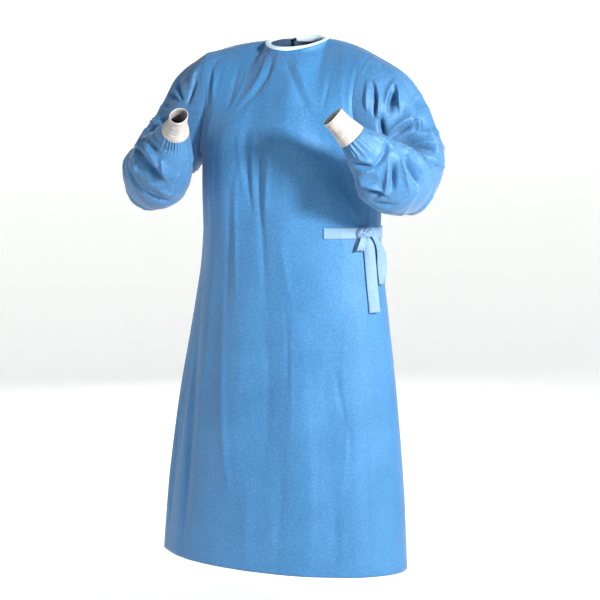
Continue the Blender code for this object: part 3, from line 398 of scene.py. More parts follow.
# Small unplaced wrinkles: how many there are round a sleeve or to a panel's metre, and along it,
# their height and a seed
SLEEVE_WRINKLES = ((3, 20.0, 0.0048, 11), (6, 44.0, 0.0024, 12))
PANEL_WRINKLES = ((9.0, 2.2, 0.0016, 21), (22.0, 5.0, 0.0007, 22))
WRINKLE_SWAY = (0.35, 50, 0.9)  # how its own cloud is stretched, the step to its seed, and its size
WRINKLE_CRISP = 1.6
WRINKLE_MEAN = 0.4
CLOUD_SIZE = 64
RIGHT_SEEDS = 30  # how far the right sleeve's seeds lie from the left one's
CRUMPLED = ((0.36, 0.10), (0.83, 0.12))  # the crook and the forearm: station and reach
CRUMPLED_REST = 0.4  # the share of the wrinkles that the rest of a sleeve has
GATHER_WAVES = 30
GATHER_DEPTH = 0.0018
GATHER_START = 0.925  # the station where the wrist's gathers begin
GATHER_RUN = 0.06  # and how far they take to be full
GATHER_SWAY = (9, 5, 71, 2.6)  # waves round and along, seed, size
GATHER_UNEVEN = (12, 72, 0.7, 0.6)  # waves round, seed, least share, how much more
GATHER_SHARP = 0.8


# ---- small tools

TINY = 0.001


def unit(vector):
    vector = np.asarray(vector, float)
    return vector / np.linalg.norm(vector, axis=-1, keepdims=True)


def ease(share):
    share = min(max(share, 0.0), 1.0)
    return share * share * (3 - 2 * share)


def soft(share):
    """ease for arrays."""
    share = np.clip(share, 0, 1)
    return share * share * (3 - 2 * share)


def bell(distance, reach):
    """1 at no distance, and soon 0 past the reach."""
    return np.exp(-((distance / reach) ** 2))


def paired(first, second):
    """Two arrays side by side on a new last axis."""
    return np.stack(np.broadcast_arrays(first, second), -1)


def walked(points):
    """How far each point lies along its line, which runs down the first axis."""
    steps = np.linalg.norm(np.diff(points, axis=0), axis=-1)
    return np.concatenate((np.zeros_like(steps[:1]), np.cumsum(steps, axis=0)))


def hermite(start, start_run, end, end_run, share):
    square, cube = share * share, share * share * share
    return (
        (2 * cube - 3 * square + 1) * np.asarray(start)
        + (cube - 2 * square + share) * np.asarray(start_run)
        + (3 * square - 2 * cube) * np.asarray(end)
        + (cube - square) * np.asarray(end_run)
    )


def row_at(table, station):
    """The row of a table at any station, its first column, on smooth curves through its rows."""
    rows = np.array(sorted(table), float)
    stations = rows[:, 0]
    slopes = np.gradient(rows, stations, axis=0)
    place = int(np.clip(np.searchsorted(stations, station) - 1, 0, len(rows) - 2))
    span = stations[place + 1] - stations[place]
    share = (station - stations[place]) / span
    runs = slopes[place : place + 2] * span
    return hermite(rows[place], runs[0], rows[place + 1], runs[1], share)


def mirrored(points):
    return np.asarray(points) * (-1.0, 1.0, 1.0)


def resample(points, steps, closed=False, breaks=()):
    """Points on smooth curves through points, along the first axis, with corners at breaks.

    steps says how many there are to each interval."""
    count = len(points)
    if closed:
        wrapped = np.concatenate((points[-1:], points, points[:2]))
        before = (wrapped[2:] - wrapped[:-2]) / 2
        before, after = before[:count], before[:count]
    else:
        before = np.gradient(points, axis=0)
        after = before.copy()
        for place in breaks:
            before[place] = points[place] - points[place - 1]
            after[place] = points[place + 1] - points[place]
    fine = []
    intervals = count if closed else count - 1
    for place in range(intervals):
        following = (place + 1) % count
        for step in range(steps[place]):
            ends = points[place], after[place], points[following], before[following]
            fine.append(hermite(*ends, step / steps[place]))
    if not closed:
        fine.append(points[-1])
    return np.array(fine)


# ---- the forms, as in the solids


def torso_point(across, height, face):
    """A point of the plain body; across runs from -1 to 1 over its front (face -1) or back (1)."""
    _, half_width, front_depth, back_depth, middle_x, middle_y = row_at(TORSO_SECTIONS, height)
    angle = math.radians(90 * across)
    depth = front_depth if face < 0 else back_depth
    x = middle_x + half_width * math.sin(angle)
    return np.array((x, middle_y + face * depth * math.cos(angle), height))


def armhole_point(share, face, side):
    """A point of an armhole's edge, from under the arm to the shoulder."""
    underarm = torso_point(1.0, UNDERARM_HEIGHT, face)
    _, half_width, front_depth, back_depth, *_ = row_at(TORSO_SECTIONS, UNDERARM_HEIGHT)
    depth, cut = ARMHOLE_BOWS[face]
    bow = depth * math.sin(math.pi * share)
    torso_depth = front_depth if face < 0 else back_depth
    curve = half_width * (1 - math.sqrt(1 - (bow / torso_depth) ** 2))
    rise = (1 - math.cos(math.pi * share)) / 2
    out, y, z = underarm + (np.array(SHOULDER_POINTS[side]) - underarm) * (share, share, rise)
    return np.array((out - cut * curve, y + face * bow, z))


def middle_point(share, face):
    """A point of the middle line, from underarm height to the neck."""
    neck_y, neck_height = NECK_EDGES[face]
    start = torso_point(0.0, UNDERARM_HEIGHT, face)
    rise = neck_height - UNDERARM_HEIGHT
    end = (0.0, neck_y, neck_height)
    inwards, upwards = NECK_SLOPES
    return hermite(start, (0, 0, rise), end, (0, -inwards * face * rise, upwards * rise), share)


def top_point(across, face):
    """A point of the top edge: the neck opening, then the shoulder seam."""
    neck_y, neck_height = NECK_EDGES[face]
    neck_share = NECK_COLUMNS / HALF_COLUMNS
    side = abs(across)
    sign = math.copysign(1, across)
    angle = math.radians(90 * min(side / neck_share, 1))
    x = NECK_MIDDLE_X + sign * NECK_HALF_WIDTH * math.sin(angle)
    if side <= neck_share:
        return np.array((x, neck_y * math.cos(angle), neck_height * math.cos(angle)))
    share = (side - neck_share) / (1 - neck_share)
    out, y, z = SHOULDER_POINTS[sign]
    return np.array((x + (sign * out - x) * share, y * share, z * share**SHOULDER_CURVE))


def yoke_point(across, share, face):
    """A point above the underarm, in rows that bend up into the top edge."""

    def row_point(row_share):
        edge = armhole_point(row_share, face, math.copysign(1, across))
        middle = middle_point(row_share, face)
        angle = math.radians(90 * across)
        bend = 1 - math.cos(angle)
        out = edge[0] * math.sin(angle)
        return np.array((out, *(middle[1:] + (edge[1:] - middle[1:]) * bend)))

    pull = max((share - NECK_PULL_START) / (1 - NECK_PULL_START), 0) ** NECK_PULL_CURVE
    return row_point(share) + pull * (top_point(across, face) - row_point(1.0))


def row_heights():
    low, high = TIE_HEIGHT - TIE_WIDTH / 2, TIE_HEIGHT + TIE_WIDTH / 2
    skirt = np.linspace(HEM_HEIGHT, low, SKIRT_ROWS + 1)
    chest = np.linspace(high, UNDERARM_HEIGHT, CHEST_ROWS + 1)
    yoke = np.linspace(UNDERARM_HEIGHT, 0.0, YOKE_ROWS + 1)[1:]
    return [*skirt, *chest, *yoke]


def grid_normals(grid, closed=False):
    if closed:
        wide = np.concatenate((grid[:, -1:], grid, grid[:, :1]), axis=1)
        columns = (wide[:, 2:] - wide[:, :-2]) / 2
    else:
        columns = np.gradient(grid, axis=1)
    rows = np.gradient(grid, axis=0)
    return unit(np.cross(columns, rows))


def half_girth(heights):
    sections = [row_at(TORSO_SECTIONS, min(height, UNDERARM_HEIGHT)) for height in heights]
    quarters = [(half_width + depth) / 2 * math.pi / 2 for _, half_width, depth, *_ in sections]
    return np.array(quarters)[:, None]


def crease_shift(crease, sideways, heights, girth):
    """How far one of the solids' creases moves each point of a sheet out of the cloth."""
    across_a, height_a, across_b, height_b, width, depth = crease
    start = paired(across_a * girth, height_a)
    run = paired(across_b * girth, height_b) - start
    offset = paired(sideways, heights) - start
    share = (offset * run).sum(-1) / (run * run).sum(-1)
    near = np.clip(share, 0, 1)
    away = np.linalg.norm(offset - run * near[..., None], axis=-1)
    taper = np.sqrt(np.sin(np.pi * (near * (1 - 2 * CREASE_END) + CREASE_END)))
    return depth * taper * bell(away, width)


def place_on(sheet, around, along):
    """The point and normal of a sheet at a place given in its own coordinates."""
    rows, wide = sheet["points"].shape[:2]
    row = min(np.interp(along, sheet["along"], np.arange(rows)), rows - 1 - TINY)
    low = int(row)
    spread = sheet["around"][low]
    if sheet["closed"]:
        around = (around + 90) % 360 - 90
        spread = np.append(spread, 270.0)
    last = len(spread) - 1
    column = min(np.interp(around, spread, np.arange(last + 1)), last - TINY)
    left = int(column)
    right = (left + 1) % wide
    found = []
    for values in (sheet["points"], sheet["normals"]):
        near, far = values[low : low + 2, left], values[low : low + 2, right]
        lower, upper = near + (far - near) * (column - left)
        found.append(lower + (upper - lower) * (row - low))
    return found


def crease_rise(sheet, crease):
    """How far one fine crease moves each point of a sheet out of the cloth."""
    *places, left, right, depth, sharp, peak = (*crease, CREASE_MIDDLE)[:CREASE_VALUES]
    if sheet["closed"]:
        depth, left, right = depth * SLEEVE_DEEPER, left * SLEEVE_NARROWER, right * SLEEVE_NARROWER
    through = np.reshape(places, (3, 2)) / (1 if sheet["closed"] else 1000, 1000)
    shares = np.linspace(0, 1, PATH_STEPS + 1)
    first, second = (1 - shares) * (1 - 2 * shares), 4 * shares * (1 - shares)
    weights = np.array((first, second, shares * (2 * shares - 1)))
    found = [place_on(sheet, *place) for place in (through[:, :, None] * weights[:, None]).sum(0).T]
    path, facing = (np.array(part) for part in zip(*found))
    runs = np.gradient(path, axis=0)
    step = np.linalg.norm(runs, axis=1).mean()
    runs = unit(runs)
    reach = CREASE_REACH * max(left, right) / 1000
    points = sheet["points"]
    near = ((points > path.min(0) - reach) & (points < path.max(0) + reach)).all(-1)
    offset = points[near][:, None] - path[None]
    nearest = (offset**2).sum(-1).argmin(1)
    offset = offset[np.arange(len(nearest)), nearest]
    forward = (offset * runs[nearest]).sum(-1)
    side = (offset * np.cross(facing[nearest], runs[nearest])).sum(-1)
    share = (nearest + forward / step) / PATH_STEPS
    square = (offset**2).sum(-1)
    beside = (share >= 0) & (share <= 1)
    away = np.sqrt(np.where(beside, np.maximum(square - forward**2, 0), square))
    width = np.where(side > 0, left, right) / 1000
    skewed = np.clip(share, 0, 1) ** (math.log(CREASE_MIDDLE) / math.log(peak))
    taper = np.sin(np.pi * (skewed * (1 - 2 * FINE_END) + FINE_END)) ** FINE_TAPER
    none, full = TURNED_AWAY
    agree = soft(((sheet["normals"][near] * facing[nearest]).sum(-1) - none) / (full - none))
    rise = np.zeros(points.shape[:2])
    rise[near] = depth / 1000 * taper * agree * np.exp(-((away / width) ** sharp))
    return rise


def cloud(x, y, seed, period=CLOUD_SIZE):
    """Smooth values from -1 to 1 over a plane, which repeat after period along x."""
    lattice = np.random.default_rng(seed).uniform(-1, 1, (CLOUD_SIZE, period))
    column, row = np.floor(x).astype(int), np.floor(y).astype(int)
    share_x, share_y = soft(x - column), soft(y - row)

    def level(down):
        here, next_one = (lattice[(row + down) % CLOUD_SIZE, (column + i) % period] for i in (0, 1))
        return here * (1 - share_x) + next_one * share_x

    return level(0) * (1 - share_y) + level(1) * share_y


def wrinkle(x, y, seed, period=CLOUD_SIZE):
    """Crisp irregular ridges between rounded hollows, from about -0.4 to 0.6."""
    stretch, seed_step, size = WRINKLE_SWAY
    sway = cloud(x, y * stretch, seed + seed_step, period) * size
    ridge = (1 - np.abs(cloud(x, y + sway, seed, period)) * WRINKLE_CRISP).clip(0, 1) ** 2
    return ridge - WRINKLE_MEAN


def panel_grid(columns, face, creases):
    heights = row_heights()
    rows = []
    for height in heights:
        if height <= UNDERARM_HEIGHT:
            rows.append([torso_point(across, height, face) for across in columns(height)])
        else:
            share = 1 - height / UNDERARM_HEIGHT
            rows.append([yoke_point(across, share, face) for across in columns(height)])
    grid = np.array(rows)
    spread = np.array([columns(height) for height in heights])
    normals = grid_normals(grid) * -face
    last = len(grid) - 1
    top = np.array([ease((last - row) / CREASE_TOP_ROWS) for row in range(len(grid))])
    edge = (1 - np.abs(spread) ** CREASE_EDGE_POWER) * top[:, None]
    girth = half_girth(heights)
    for crease in creases:
        shift = crease_shift(crease, spread * girth, grid[..., 2], girth)
        grid = grid + normals * (shift * edge)[..., None]
    return grid


def standard_columns(_height):
    return np.linspace(-1, 1, 2 * HALF_COLUMNS + 1)


def wrap_columns(height):
    edge = row_at(WRAP_EDGE, height)[1]
    own = np.linspace(-1, 0, HALF_COLUMNS + 1)
    return np.concatenate((own, np.linspace(0, edge, WRAP_COLUMNS + 1)[1:]))


def under_columns(_height):
    lap = np.linspace(UNDERLAP_SHARE, 0, UNDERLAP_COLUMNS + 1)[:-1]
    return np.concatenate((lap, np.linspace(0, 1, HALF_COLUMNS + 1)))


def lift_wrap(grid):
    start, full = WRAP_LIFT_SHARES
    spread = [wrap_columns(height) for height in row_heights()]
    share = (np.array(spread) - start) / (full - start)
    return grid - grid_normals(grid) * (WRAP_LIFT * soft(share))[..., None]


def shoulder_run(side):
    out, y, _ = SHOULDER_POINTS[side]
    return unit((side * (out - NECK_HALF_WIDTH) - NECK_MIDDLE_X, y, 0))


def neck_run_at_corner(face):
    return unit((0, *NECK_EDGES[face]))


def with_neck_band(grid, spread, face):
    neck_share = NECK_COLUMNS / HALF_COLUMNS
    middle = int(np.abs(spread).argmin())
    down_columns = unit(grid[-2] - grid[-1])
    neck_run = neck_run_at_corner(face)
    band = []
    for across, down in zip(spread, down_columns):
        side = abs(across)
        seam_run = shoulder_run(math.copysign(1, across))
        if side < neck_share - TINY:
            turn = math.radians(90 * side / neck_share)
            down_here = unit(math.sin(turn) * neck_run + math.cos(turn) * down_columns[middle])
            way = unit(math.sin(turn) * seam_run + math.cos(turn) * down_here)
        elif side < neck_share + TINY:
            way = seam_run + neck_run
        else:
            share = (side - neck_share) / (1 - neck_share)
            way = unit(neck_run * (1 - share) + down * share)
        band.append(way * BINDING_WIDTH)
    return np.concatenate((grid[:-1], [grid[-1] + band], grid[-1:]))


def sleeve_frame(side, station):
    line = np.array(SLEEVE_LINE[side], float)
    place = min(int(station * 2), 1)
    share = station * 2 - place
    a, b = line[place], line[place + 1]
    ends = a[:3], a[3:], b[:3], b[3:]
    middle = hermite(*ends, share)
    run = unit(hermite(*ends, share + TINY) - middle)
    if station > 1 - TINY:
        run = unit(CUFF_RUN[side])
    elbow = line[1, :3]
    plane = unit(np.cross(elbow - line[0, :3], line[2, :3] - elbow))
    plane = plane * math.copysign(1, plane[2])
    across = unit(plane - run * (plane @ run))
    return middle, run, np.cross(run, across), across


def sleeve_angles():
    rising = np.linspace(-90, 90, YOKE_ROWS + 2)
    return np.concatenate((rising, 180 - rising[-2:0:-1]))


def sleeve_ring(side, station):
    middle, _, crook, across = sleeve_frame(side, station)
    _, to_crook, to_elbow, outer, under, sag = row_at(SLEEVE_SECTIONS, station)
    points = []
    for angle in np.radians(sleeve_angles()):
        inward, sideways = math.cos(angle), math.sin(angle)
        inward *= to_crook if inward > 0 else to_elbow
        sideways *= outer if sideways > 0 else under
        points.append(middle + crook * inward + across * sideways)
    return np.array(points) - (0, 0, sag)


def sleeve_grid(side, armhole):
    """A sleeve's coarse rings, without its gathers, on the wearer's left."""
    middle = sleeve_frame(side, 0.0)[0]
    rings = []
    for step in range(SLEEVE_ROWS + 1):
        station = step / SLEEVE_ROWS
        blend = 1 - max(1 - station / ARMHOLE_BLEND, 0) ** ARMHOLE_BLEND_CURVE
        drift = 1 - (1 - ARMHOLE_DRIFT) * blend
        moved = armhole + (sleeve_frame(side, station)[0] - middle) * drift
        rings.append(moved * (1 - blend) + sleeve_ring(side, station) * blend)
    grid = np.array(rings)
    normals = -grid_normals(grid, closed=True)
    around = np.radians(sleeve_angles())[None, :]
    stations = np.linspace(0, 1, SLEEVE_ROWS + 1)[:, None]
    radius = np.full((1, 1), SLEEVE_RADIUS)
    shift = np.zeros(grid.shape[:2])
    for station_a, angle_a, station_b, angle_b, width, depth in SLEEVE_CREASES[side]:
        start = (math.radians(angle_a), station_a * SLEEVE_LENGTH)
        end = (math.radians(angle_b), station_b * SLEEVE_LENGTH)
        crease = (*start, *end, width, depth)
        for turn in (-2 * math.pi, 0, 2 * math.pi):
            sideways = (around + turn) * SLEEVE_RADIUS
            shift += crease_shift(crease, sideways, stations * SLEEVE_LENGTH, radius)
    top_fade, wrist_fade = SLEEVE_CREASE_FADES
    fade = soft(stations / top_fade) * soft((1 - stations) / wrist_fade)
    along = np.sin(np.pi * np.clip(stations / SLEEVE_HEAD_END, 0, 1)) ** SLEEVE_HEAD_CURVE
    head = SLEEVE_HEAD_PUFF * along * np.clip(np.sin(around), 0, 1) ** 2
    return grid + normals * (shift * fade + head)[..., None]


# ---- fine grids

ROW_STEPS = [FINE_SKIRT] * SKIRT_ROWS + [FINE_CHEST] * (CHEST_ROWS + 1) + [FINE_YOKE] * YOKE_ROWS
ROW_STEPS[-1:] = [FINE_YOKE, FINE_BAND]
FINE_UNDERARM = sum(ROW_STEPS[:UNDERARM_ROW])
FINE_TIE = sum(ROW_STEPS[:SKIRT_ROWS])
CORNER_START, CORNER_RUN = 0.7, 0.3  # across, where the corner under the arm comes in
TOP_START, TOP_RUN = 22, 18  # rows from the top, where the neck's corners come in
FLAT_STRETCH = 1.05  # of the cut over the plain form's girth
BACK_AWAY = 5  # keeps the back's wrinkles from being the front's
CLOUD_START = 2.0  # added to a height, for its place in a cloud
SEWN_ROWS = 12  # over which creases die out towards the neck and shoulder seams
JOINED_ROWS = 2  # coarse rows over which a sleeve leaves the armhole's own points
WRINKLES_FULL = 0.25  # the station where a sleeve's wrinkles are full
FINE_FADES = (0.05, 0.10)  # how soon its creases come in at its top and at its wrist


def fine_panel(grid, spread):
    """A panel's fine points, with its across values and nominal heights."""
    rows, columns = grid.shape[:2]
    smooth = resample(grid, ROW_STEPS)
    cornered = resample(grid, ROW_STEPS, breaks=(UNDERARM_ROW,))
    across = resample(spread, ROW_STEPS)
    near_edge = soft((np.abs(across) - CORNER_START) / CORNER_RUN)[..., None]
    tall = (smooth * (1 - near_edge) + cornered * near_edge).transpose(1, 0, 2)
    steps = [FINE_COLUMNS] * (columns - 1)
    at_neck = np.abs(np.abs(spread[-1]) - NECK_COLUMNS / HALF_COLUMNS) < TINY
    corners = [i for i in range(1, columns - 1) if at_neck[i]]
    plain, broken = resample(tall, steps), resample(tall, steps, breaks=corners)
    below_top = len(smooth) - np.arange(len(smooth))
    near_top = soft((TOP_START - below_top) / TOP_RUN)[None, :, None]
    points = (plain * (1 - near_top) + broken * near_top).transpose(1, 0, 2)
    return points, resample(across.T, steps).T


def new_sheet(points, around, along, way, closed=False):
    """Fine points with their outward normals and their own coordinates."""
    normals = grid_normals(points, closed) * way
    return dict(points=points, normals=normals, around=around, along=along, closed=closed)


def creased(sheet, creases, fade, extra):
    """A sheet's points with its fine creases and extra rises, faded where it is sewn on."""
    rise = extra + sum(crease_rise(sheet, crease) for crease in creases)
    return sheet["points"] + sheet["normals"] * (rise * fade)[..., None]


def seam_distance(points, columns):
    """How far each point is from the seams at the given columns, measured along its row."""
    along = walked(points.transpose(1, 0, 2)).T
    return np.min([np.abs(along - along[:, [column]]) for column in columns], axis=0)


def dipped(sheet, distance):
    """A sheet's points with the shallow groove of its seams, at the given distances from them."""
    return sheet["points"] - sheet["normals"] * (SEAM_DIP * bell(distance, SEAM_WIDTH))[..., None]


# ---- meshes

SHIFT = np.array((NECK_MIDDLE_X, 0, 0))  # from the torso's middle to the neck's
pieces = {}


def grid_mesh(name, points, texture, closed=False, flip=False):
    """A sheet of quads, with each point's place on the flat cloth, in metres, in texture."""
    rows, columns = points.shape[:2]
    faces, places = [], []
    for row in range(rows - 1):
        for column in range(columns if closed else columns - 1):
            right = (column + 1) % columns
            quad = [(row, column), (row, right), (row + 1, right), (row + 1, column)]
            place = [texture[r, c] for r, c in quad]
            if closed and right == 0:
                wide = texture[row, 1, 0] - texture[row, 0, 0]
                place[1] = place[0] + (wide, 0)
                place[2] = place[3] + (wide, 0)
            if flip:
                quad, place = quad[::-1], place[::-1]
            faces.append([r * columns + c for r, c in quad])
            places += place
    mesh = bpy.data.meshes.new(name)
    mesh.from_pydata(points.reshape(-1, 3).tolist(), [], faces)
    layer = mesh.uv_layers.new(name="cloth")
    layer.data.foreach_set("uv", np.array(places, float).ravel())
    mesh.shade_smooth()
    mesh.update()
    return mesh


def placed(name, data):
    """A new object of the data, in the scene."""
    thing = bpy.data.objects.new(name, data)
    bpy.context.scene.collection.objects.link(thing)
    return thing


def add_piece(node, points, flat, material, slot, kind="cloth", **shape):
    """A piece of cloth, which stands for a node of the frame."""
    mesh = grid_mesh(f"{node}_{kind}", points - SHIFT, flat, **shape)
    mesh.materials.append(material)
    piece = placed(mesh.name, mesh)
    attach(piece, "root")
    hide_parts(node)
    pieces[node] = piece
    return piece


def thicken(piece, thickness, inside=None, offset=-1.0):
    wall = piece.modifiers.new("Wall", "SOLIDIFY")
    wall.thickness = thickness
    wall.offset = offset
    wall.use_even_offset = False
    # the inner side can take a material of its own: the gown's is a dark navy, painted shade
    if inside:
        piece.data.materials.append(inside)
        wall.material_offset = 1


def finish_ends(mesh, count, cap):
    """Closes each end of a tube with a face, or else joins its last ring to its first."""
    body = bmesh.new()
    body.from_mesh(mesh)
    body.verts.ensure_lookup_table()
    first, last = body.verts[:count], body.verts[-count:]
    if cap:
        body.faces.new(first[::-1])
        body.faces.new(last)
        bmesh.ops.recalc_face_normals(body, faces=body.faces)
    else:
        bmesh.ops.weld_verts(body, targetmap=dict(zip(last, first)))
    body.to_mesh(mesh)
    body.free()


# ---- materials


class Nodes:
    """Short ways to build a node tree."""

    def __init__(self, name):
        self.material = bpy.data.materials.new(name)
        self.material.use_nodes = True
        self.tree = self.material.node_tree

    def feed(self, sockets, values):
        """Links each value that is a socket, and sets each other one on its own socket."""
        for key, value in values.items():
            if hasattr(value, "is_linked"):
                self.tree.links.new(value, sockets[key])
            else:
                sockets[key].default_value = value

    def add(self, kind, values=None, **settings):
        node = self.tree.nodes.new("ShaderNode" + kind)
        for key, value in settings.items():
            setattr(node, key, value)
        self.feed(node.inputs, values or {})
        return node.outputs

    def mix(self, factor, first, second):
        return self.add("Mix", {0: factor, 6: first, 7: second}, data_type="RGBA")[2]

    def noise(self, vector, scale, detail=3.0, roughness=0.55):
        values = {"Vector": vector, "Scale": scale, "Detail": detail, "Roughness": roughness}
        return self.add("TexNoise", values)["Fac"]

    def ramp(self, value, low, high, to_low=0.0, to_high=1.0):
        ends = {"From Min": low, "From Max": high, "To Min": to_low, "To Max": to_high}
        return self.add("MapRange", {**ends, "Value": value})["Result"]

    def math(self, operation, first, second=0.0):
        return self.add("Math", {0: first, 1: second}, operation=operation)[0]

    def axes(self, vector):
        return self.add("SeparateXYZ", {"Vector": vector})

    def tint(self, tone, layers):
        """A tone under layers, as in nonwoven's table."""
        for place, low, high, to_low, to_high, colour in layers:
            tone = self.mix(self.ramp(place, low, high, to_low, to_high), tone, (*colour, 1))
        return tone

    def ridges(self, vector, scale, depth):
        """Crisp ridges along the lines where a noise crosses its middle."""
        away = self.math("SUBTRACT", self.noise(vector, scale, 1.0), 0.5)
        return self.math("MULTIPLY", self.math("ABSOLUTE", away), depth)

    def bump(self, height, strength, distance, **below):
        values = {"Height": height, "Strength": strength, "Distance": distance}
        return self.add("Bump", {**values, **below})["Normal"]

    def shade(self, values):
        self.feed(self.tree.nodes["Principled BSDF"].inputs, values)
        return self.material


# noises over the flat cloth: scale, detail and roughness
FIBRES = (900.0, 4.0, 0.7)
GRAIN = (190.0,)
PATCHES = (9.0,)
FUZZ = (700.0, 4.0, 0.7)
KNIT_PATCHES = (40.0, 2.0)
EMBOSS_PITCH = 0.0032
STITCH_PITCH = 0.0016
STREAKS = (260.0, 34.0, 1.0)  # how often the fibres' streaks come, across and along
CRINKLES = ((24.0, -1.0), (58.0, -0.45))  # how fine, and their depth
DOT_RISE, FIBRE_RISE, STITCH_RISE = -0.5, 0.8, 0.5
WEAVE_BUMP, STITCH_BUMP = (0.35, 0.0003), (0.5, 0.0004)  # strength and distance
GLOSS_SPREAD = 0.06
CLOTH_SHINE = {
    "Sheen Roughness": 0.50,
    "Sheen Tint": (0.85, 0.88, 1.0, 1),
    "Specular Tint": (0.70, 0.85, 1.0, 1),
    "Specular IOR Level": 0.58,
}


def nonwoven(name, colour, light, dark, roughness, sheen, crinkle=0.0):
    """Spunbond cloth: pressed diamond dots, tangled fibres, faint cloudy colour, small crinkles."""
    n = Nodes(name)
    place = n.add("UVMap", uv_map="cloth")["UV"]
    turned = n.add("Mapping", {"Rotation": (0, 0, math.radians(45)), "Vector": place})["Vector"]
    split, pitch = n.axes(turned), 2 * math.pi / EMBOSS_PITCH
    waves = [n.math("COSINE", n.math("MULTIPLY", split[axis], pitch)) for axis in (0, 1)]
    dots = n.ramp(n.math("MULTIPLY", *waves), 0.35, 0.9)
    fibres, clouds, grain = (n.noise(place, *kind) for kind in (FIBRES, PATCHES, GRAIN))
    streaks = n.noise(n.add("Mapping", {"Scale": STREAKS, "Vector": place})["Vector"], 1.0)
    layers = (
        # where, from and to which value, its shares there, and its colour
        (clouds, 0.35, 0.65, 0.3, 1.0, colour),
        (grain, 0.36, 0.52, 0.40, 0.0, dark),
        (grain, 0.50, 0.66, 0.0, 0.30, light),
        (streaks, 0.40, 0.75, 0.0, 0.14, light),
        (fibres, 0.45, 0.85, 0.0, 0.30, light),
        (dots, 0.0, 1.0, 0.0, 0.22, dark),
    )
    below = {}
    if crinkle:
        body = n.add("TexCoord")["Object"]
        bends = n.math("ADD", *(n.ridges(body, *finer) for finer in CRINKLES))
        below["Normal"] = n.bump(bends, 1.0, crinkle)
    pressed, raised = n.math("MULTIPLY", dots, DOT_RISE), n.math("MULTIPLY", fibres, FIBRE_RISE)
    gloss = n.ramp(fibres, 0.2, 0.8, roughness - GLOSS_SPREAD, roughness + GLOSS_SPREAD)
    values = {
        "Base Color": n.tint((*dark, 1), layers),
        "Roughness": gloss,
        "Sheen Weight": sheen,
        "Normal": n.bump(n.math("ADD", pressed, raised), *WEAVE_BUMP, **below),
    }
    return n.shade({**values, **CLOTH_SHINE})


def knit(name, colour, dark):
    """Fine rib knit: rows of stitches over the ribs that the mesh has."""
    n = Nodes(name)
    place = n.add("UVMap", uv_map="cloth")["UV"]
    rows = n.math("SINE", n.math("MULTIPLY", n.axes(place)[1], 2 * math.pi / STITCH_PITCH))
    fuzz, clouds = (n.noise(place, *kind) for kind in (FUZZ, KNIT_PATCHES))
    layers = ((clouds, 0.3, 0.7, 0.0, 1.0, colour), (rows, -1.0, 1.0, 0.22, 0.0, dark))
    height = n.math("ADD", n.math("MULTIPLY", rows, STITCH_RISE), fuzz)
    values = {
        "Base Color": n.tint((*dark, 1), layers),
        "Roughness": 0.92,
        "Sheen Weight": 0.35,
        "Sheen Roughness": 0.6,
        "Normal": n.bump(height, *STITCH_BUMP),
    }
    return n.shade(values)


# each cloth's colour, its lighter fibres and its darker places, then its roughness and sheen
GOWN_TONES = ((0.026, 0.152, 0.350), (0.088, 0.232, 0.442), (0.011, 0.111, 0.280))
GOWN_BLUE = nonwoven("gown_blue", *GOWN_TONES, 0.60, 0.20, crinkle=0.0012)
# The sleeves are cut from the gown's cloth; their copy of its blue is darker and greyer, as painted
# shade with a painted whitish sheen.
SLEEVE_SHADED_TONES = ((0.034, 0.147, 0.322), (0.104, 0.224, 0.412), (0.014, 0.105, 0.254))
SLEEVE_SHADED_BLUE = nonwoven("sleeve_blue_painted_shade", *SLEEVE_SHADED_TONES, 0.58, 0.20, crinkle=0.0026)
# The gown's inside is the same blue cloth; this dark navy is painted shade inside the neck and
# sleeves.
INSIDE_SHADE_TONES = ((0.012, 0.032, 0.078), (0.022, 0.050, 0.100), (0.008, 0.024, 0.060))
GOWN_INSIDE_SHADE = nonwoven("gown_inside_painted_shade", *INSIDE_SHADE_TONES, 0.80, 0.0)
TIE_TONES = ((0.145, 0.255, 0.400), (0.215, 0.330, 0.480), (0.108, 0.210, 0.345))
TIE_BLUE = nonwoven("tie_blue", *TIE_TONES, 0.60, 0.10)
BINDING_TONES = ((0.590, 0.760, 0.910), (0.700, 0.810, 0.920), (0.440, 0.610, 0.800))
BINDING = nonwoven("binding_white", *BINDING_TONES, 0.60, 0.2)
CUFF_WHITE = knit("cuff_white", (0.49, 0.482, 0.474), (0.26, 0.245, 0.235))
# The cuffs' inside is the same white knit; this grey is painted shade.
CUFF_INSIDE_SHADE = knit("cuff_inside_painted_shade", (0.20, 0.19, 0.19), (0.12, 0.11, 0.12))


# ---- panels and sleeves

LAYOUTS = {
    # columns, which face of the torso, the solids' creases, fine creases, columns at an armhole
    "front_panel": (standard_columns, -1, FRONT_CREASES, FINE_FRONT, (0, -1)),
    "back_left": (under_columns, 1, BACK_CREASES, FINE_BACK, (-1,)),
    "back_right": (wrap_columns, 1, BACK_CREASES, FINE_BACK, (0,)),
}


def build_panels():
    """Fine grids of the panels, with outward normals, their own coordinates and flat places."""
    made = {}
    heights = [*row_heights(), 0.0]
    nominal = resample(np.array(heights)[:, None], ROW_STEPS)[:, 0]
    girth = half_girth(nominal)
    for name, (columns, face, creases, fine, _) in LAYOUTS.items():
        grid = panel_grid(columns, face, creases)
        if name == "back_right":
            grid = lift_wrap(grid)
        grid = with_neck_band(grid, columns(0.0), face)
        points, across = fine_panel(grid, np.array([columns(height) for height in heights]))
        sheet = new_sheet(points, across, nominal, -face)
        sheet["flat"] = paired(across * girth * FLAT_STRETCH, nominal[:, None])
        x, y = sheet["flat"][..., 0] + BACK_AWAY * (face > 0), nominal[:, None] + CLOUD_START
        extra = sum(wrinkle(x * fx, y * fy, seed) * rise for fx, fy, rise, seed in PANEL_WRINKLES)
        sewn = 1 - np.abs(across) ** CREASE_EDGE_POWER
        top = soft(np.arange(len(points))[::-1] / SEWN_ROWS)[:, None]
        sheet["points"] = creased(sheet, fine, sewn * top, extra)
        made[name] = sheet
    return made


PANELS = build_panels()


